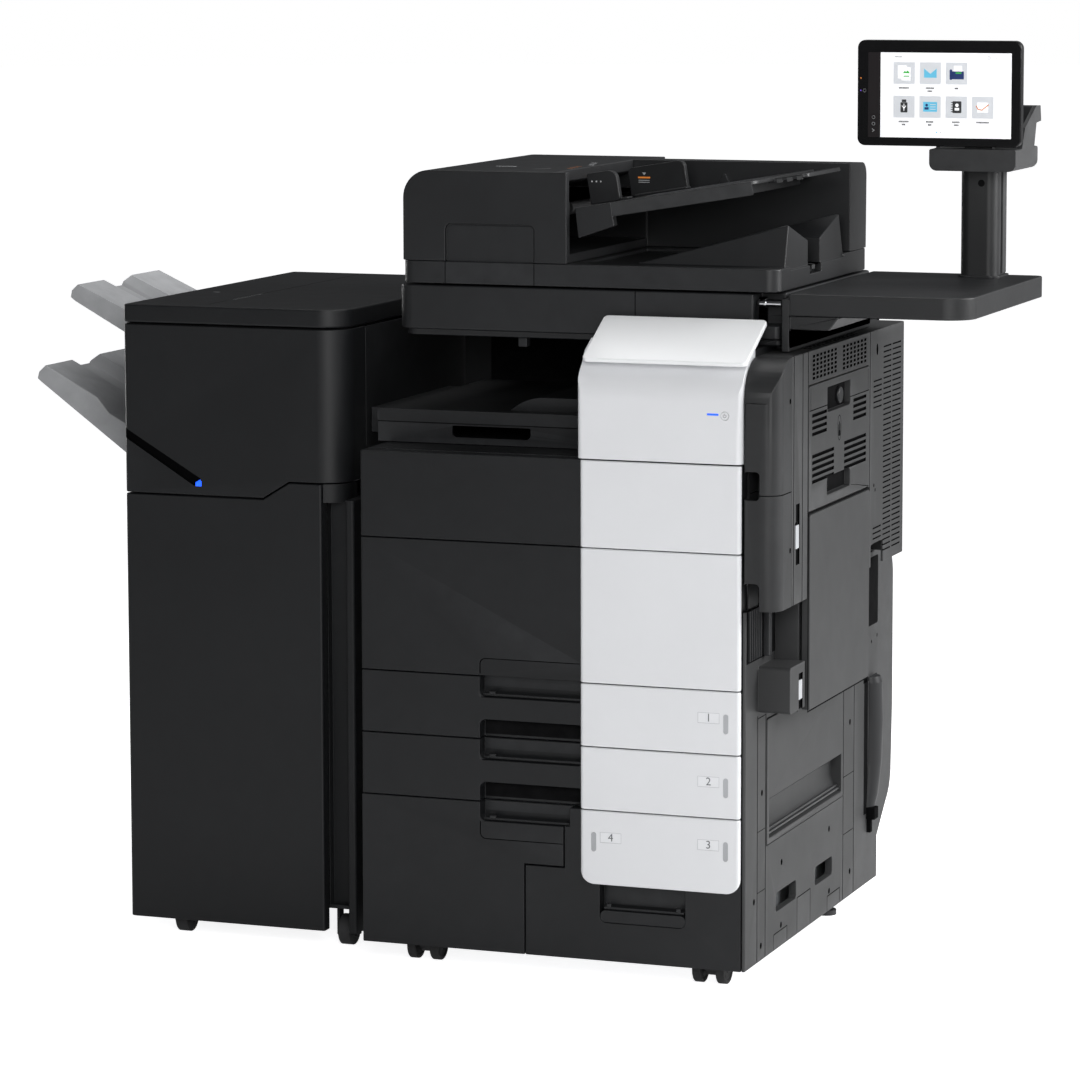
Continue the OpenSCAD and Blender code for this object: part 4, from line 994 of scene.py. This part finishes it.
def pale_flap(bm):
    frame_lines(bm, "y", TILE_Y, 695, 1373.6, 736, 1382.4, 0.6, 0.1)
    x, z = at_tile(0, 1)
    plate(bm, [(x - 10, z + 7), (x, z - 1), (x + 10, z + 7)], 2)
    x, z = at_tile(1, 1)
    for k in range(3):
        plate(bm, rect(x + 4.5, z + 3.6 - 3.6 * k, 9, 1.0), 2)


# height of each row's wording, and the widths of its one or two lines under each icon
WORDING = ((1330.5, ((17, 0), (15, 9), (6, 0))), (1279.0, ((17, 7), (13, 7), (13, 8), (20, 0))))


def label_lines(bm):
    """Short ticks in place of the wording, and the small signs of the screen's lower and upper edge."""
    for row, (z0, widths) in enumerate(WORDING):
        for c, lines in enumerate(widths):
            x, _ = at_tile(row, c)
            for k, w in enumerate(lines):
                for j in range(w // 2):
                    plate(bm, rect(x - w / 2 + 1 + j * 2, z0 - 4.6 * k, 1.5, 2.5), 1)
    for j in range(6):
        plate(bm, rect(713 + j * 2, 1378, 1.3, 1.5), 1)
    for k in (1, 2, 3):
        plate(bm, disc(779.5 + 6.6 * k, 1263, 0.7, 10), 1)
    stroke(bm, "y", FACE - 0.2, 0.08, ring(861, 1377.5, 2.2, 12), 0.5)
    stroke(bm, "y", FACE - 0.2, 0.08, [(870.5, 1380), (873.5, 1376), (876.5, 1376)], 0.6)


MIDDLE = ((SCREEN[0] + SCREEN[2]) / 2, (SCREEN[1] + SCREEN[3]) / 2)
SIZE = (SCREEN[2] - SCREEN[0], SCREEN[3] - SCREEN[1])
extra("screen_display", "screen", "lit", lambda bm: add_prism(
    bm, rect(*MIDDLE, *SIZE), "y", FACE - 0.06, FACE + 0.2), True)
extra("screen_side_strip", "screen", "strip", lambda bm: add_prism(
    bm, rect(680, MIDDLE[1], 19.4, SIZE[1]), "y", FACE - 0.05, FACE + 0.2), True)
extra("screen_tiles", "screen", "tile", tiles, True)
extra("screen_paper_icons", "screen", "lit", paper_parts, True)
extra("screen_cyan_icons", "screen", "cyan", cyan_parts, True)
extra("screen_navy_icons", "screen", "navy", navy_parts, True)
extra("screen_green_icons", "screen", "green", green_parts, True)
extra("screen_dark_icons", "screen", "ink", dark_parts, True)
extra("screen_flap_icons", "screen", "tile", pale_flap, True)
extra("screen_swirl", "screen", "orange", colour_swirl, True)
extra("screen_labels", "screen", "ink", label_lines, True)
extra("screen_home_icons", "screen", "print", lambda bm: (
    stroke(bm, "y", TILE_Y, 0.1, ring(679, 1285, 2.3, 12), 0.7),
    stroke(bm, "y", TILE_Y, 0.1, ring(679, 1275, 2.3, 12), 0.7),
    stroke(bm, "y", TILE_Y, 0.1, [(677.5, 1267), (680.5, 1265), (677.5, 1263)], 0.8)), True)
extra("sensor_ring", "screen", "print", lambda bm: stroke(
    bm, "y", TILE_Y, 0.12, ring(664.5, 1326, 2.4, 16), 0.7), True)
extra("lamp_orange", "screen", "orange", lambda bm: add_prism(
    bm, disc(658.5, 1345, 1.1, 12), "y", TILE_Y, FACE + 0.1), True)
extra("lamp_violet", "screen", "violet", lambda bm: add_prism(
    bm, disc(658.5, 1326, 1.1, 12), "y", TILE_Y, FACE + 0.1), True)

# ---------- studio ----------

scene = bpy.context.scene
scene.view_settings.view_transform = "Standard"
scene.view_settings.look = "None"

floor_bm = bmesh.new()
bmesh.ops.create_circle(floor_bm, cap_ends=True, segments=96, radius=40)
floor_me = bpy.data.meshes.new("floor")
floor_bm.to_mesh(floor_me)
floor_bm.free()
floor = bpy.data.objects.new("floor", floor_me)
scene.collection.objects.link(floor)
floor_me.materials.append(surface("studio_floor", (0.84, 0.84, 0.845), 0.9, mottle=0.01, bump=0.0, wear_and_edge_highlight=0.0,
                                  specular=0.1, emit=0.95))
# the floor glows white for the camera and only faintly for the machine
ft = floor_me.materials[0].node_tree
seen = ft.nodes.new("ShaderNodeLightPath")
ft.links.new(_math(ft, "ADD", _math(ft, "MULTIPLY", seen.outputs["Is Camera Ray"], 0.95), 0.10),
             ft.nodes["Principled BSDF"].inputs["Emission Strength"])

world = bpy.data.worlds.new("studio")
scene.world = world
world.use_nodes = True
wt = world.node_tree
background = wt.nodes["Background"]
background.inputs["Strength"].default_value = 1.0
tc = wt.nodes.new("ShaderNodeTexCoord")
sep = wt.nodes.new("ShaderNodeSeparateXYZ")
wt.links.new(tc.outputs["Generated"], sep.inputs[0])
# the surroundings are bright on the right and dark on the left; the camera itself sees plain white
side = _math(wt, "ADD", _math(wt, "MULTIPLY", sep.outputs["X"], 0.9),
             _math(wt, "MULTIPLY", sep.outputs["Y"], 0.2))
glow = _ramp(wt, _math(wt, "ADD", _math(wt, "MULTIPLY", side, 0.5), 0.5),
             [(0.46, (0.045, 0.046, 0.048)), (0.95, (0.62, 0.625, 0.63))])
path = wt.nodes.new("ShaderNodeLightPath")
pick = wt.nodes.new("ShaderNodeMix")
pick.data_type = "RGBA"
wt.links.new(path.outputs["Is Camera Ray"], pick.inputs[0])
wt.links.new(glow, pick.inputs[6])
pick.inputs[7].default_value = (1.0, 1.0, 1.0, 1)
wt.links.new(pick.outputs[2], background.inputs["Color"])


def area(name, place, target, size, power):
    """Rectangular soft light at a place, turned to its target."""
    data = bpy.data.lights.new(name, "AREA")
    data.shape = "RECTANGLE"
    data.size, data.size_y = size
    data.energy = power
    ob = bpy.data.objects.new(name, data)
    scene.collection.objects.link(ob)
    ob.location = place
    ob.rotation_euler = (Vector(target) - Vector(place)).to_track_quat("-Z", "Y").to_euler()


area("right_softbox", (3.2, 0.7, 2.1), (0.3, 0.1, 0.9), (1.8, 1.6), 120)
area("front_fill", (1.9, -4.6, 2.2), (0.0, 0.0, 0.6), (2.4, 1.8), 118)
area("left_rim", (-3.4, 1.5, 1.3), (-0.3, 0.2, 0.8), (0.7, 2.0), 34)
area("top_light", (0.0, 0.6, 4.2), (0.0, 0.0, 0.8), (3.0, 2.0), 50)

# camera, fitted to the straight edges of the machine: angles in radians, place in metres
YAW, PITCH, ROLL = 0.3538571, 0.1209668, -0.0022954
PLACE = (2.441976, -6.559868, 1.598661)
forward = Vector((-math.sin(YAW) * math.cos(PITCH), math.cos(YAW) * math.cos(PITCH), -math.sin(PITCH)))
right = Vector((math.cos(YAW), math.sin(YAW), 0))
up = right.cross(forward)
right, up = (math.cos(ROLL) * right + math.sin(ROLL) * up, -math.sin(ROLL) * right + math.cos(ROLL) * up)
camera_data = bpy.data.cameras.new("camera")
camera_data.sensor_width = 36
camera_data.lens = 147.896
camera_data.shift_x = -0.00254
camera_data.shift_y = -0.08144
camera_data.clip_end = 200
camera = bpy.data.objects.new("camera", camera_data)
scene.collection.objects.link(camera)
camera.matrix_world = Matrix(((right.x, up.x, -forward.x, PLACE[0]), (right.y, up.y, -forward.y, PLACE[1]),
                              (right.z, up.z, -forward.z, PLACE[2]), (0, 0, 0, 1)))
scene.camera = camera
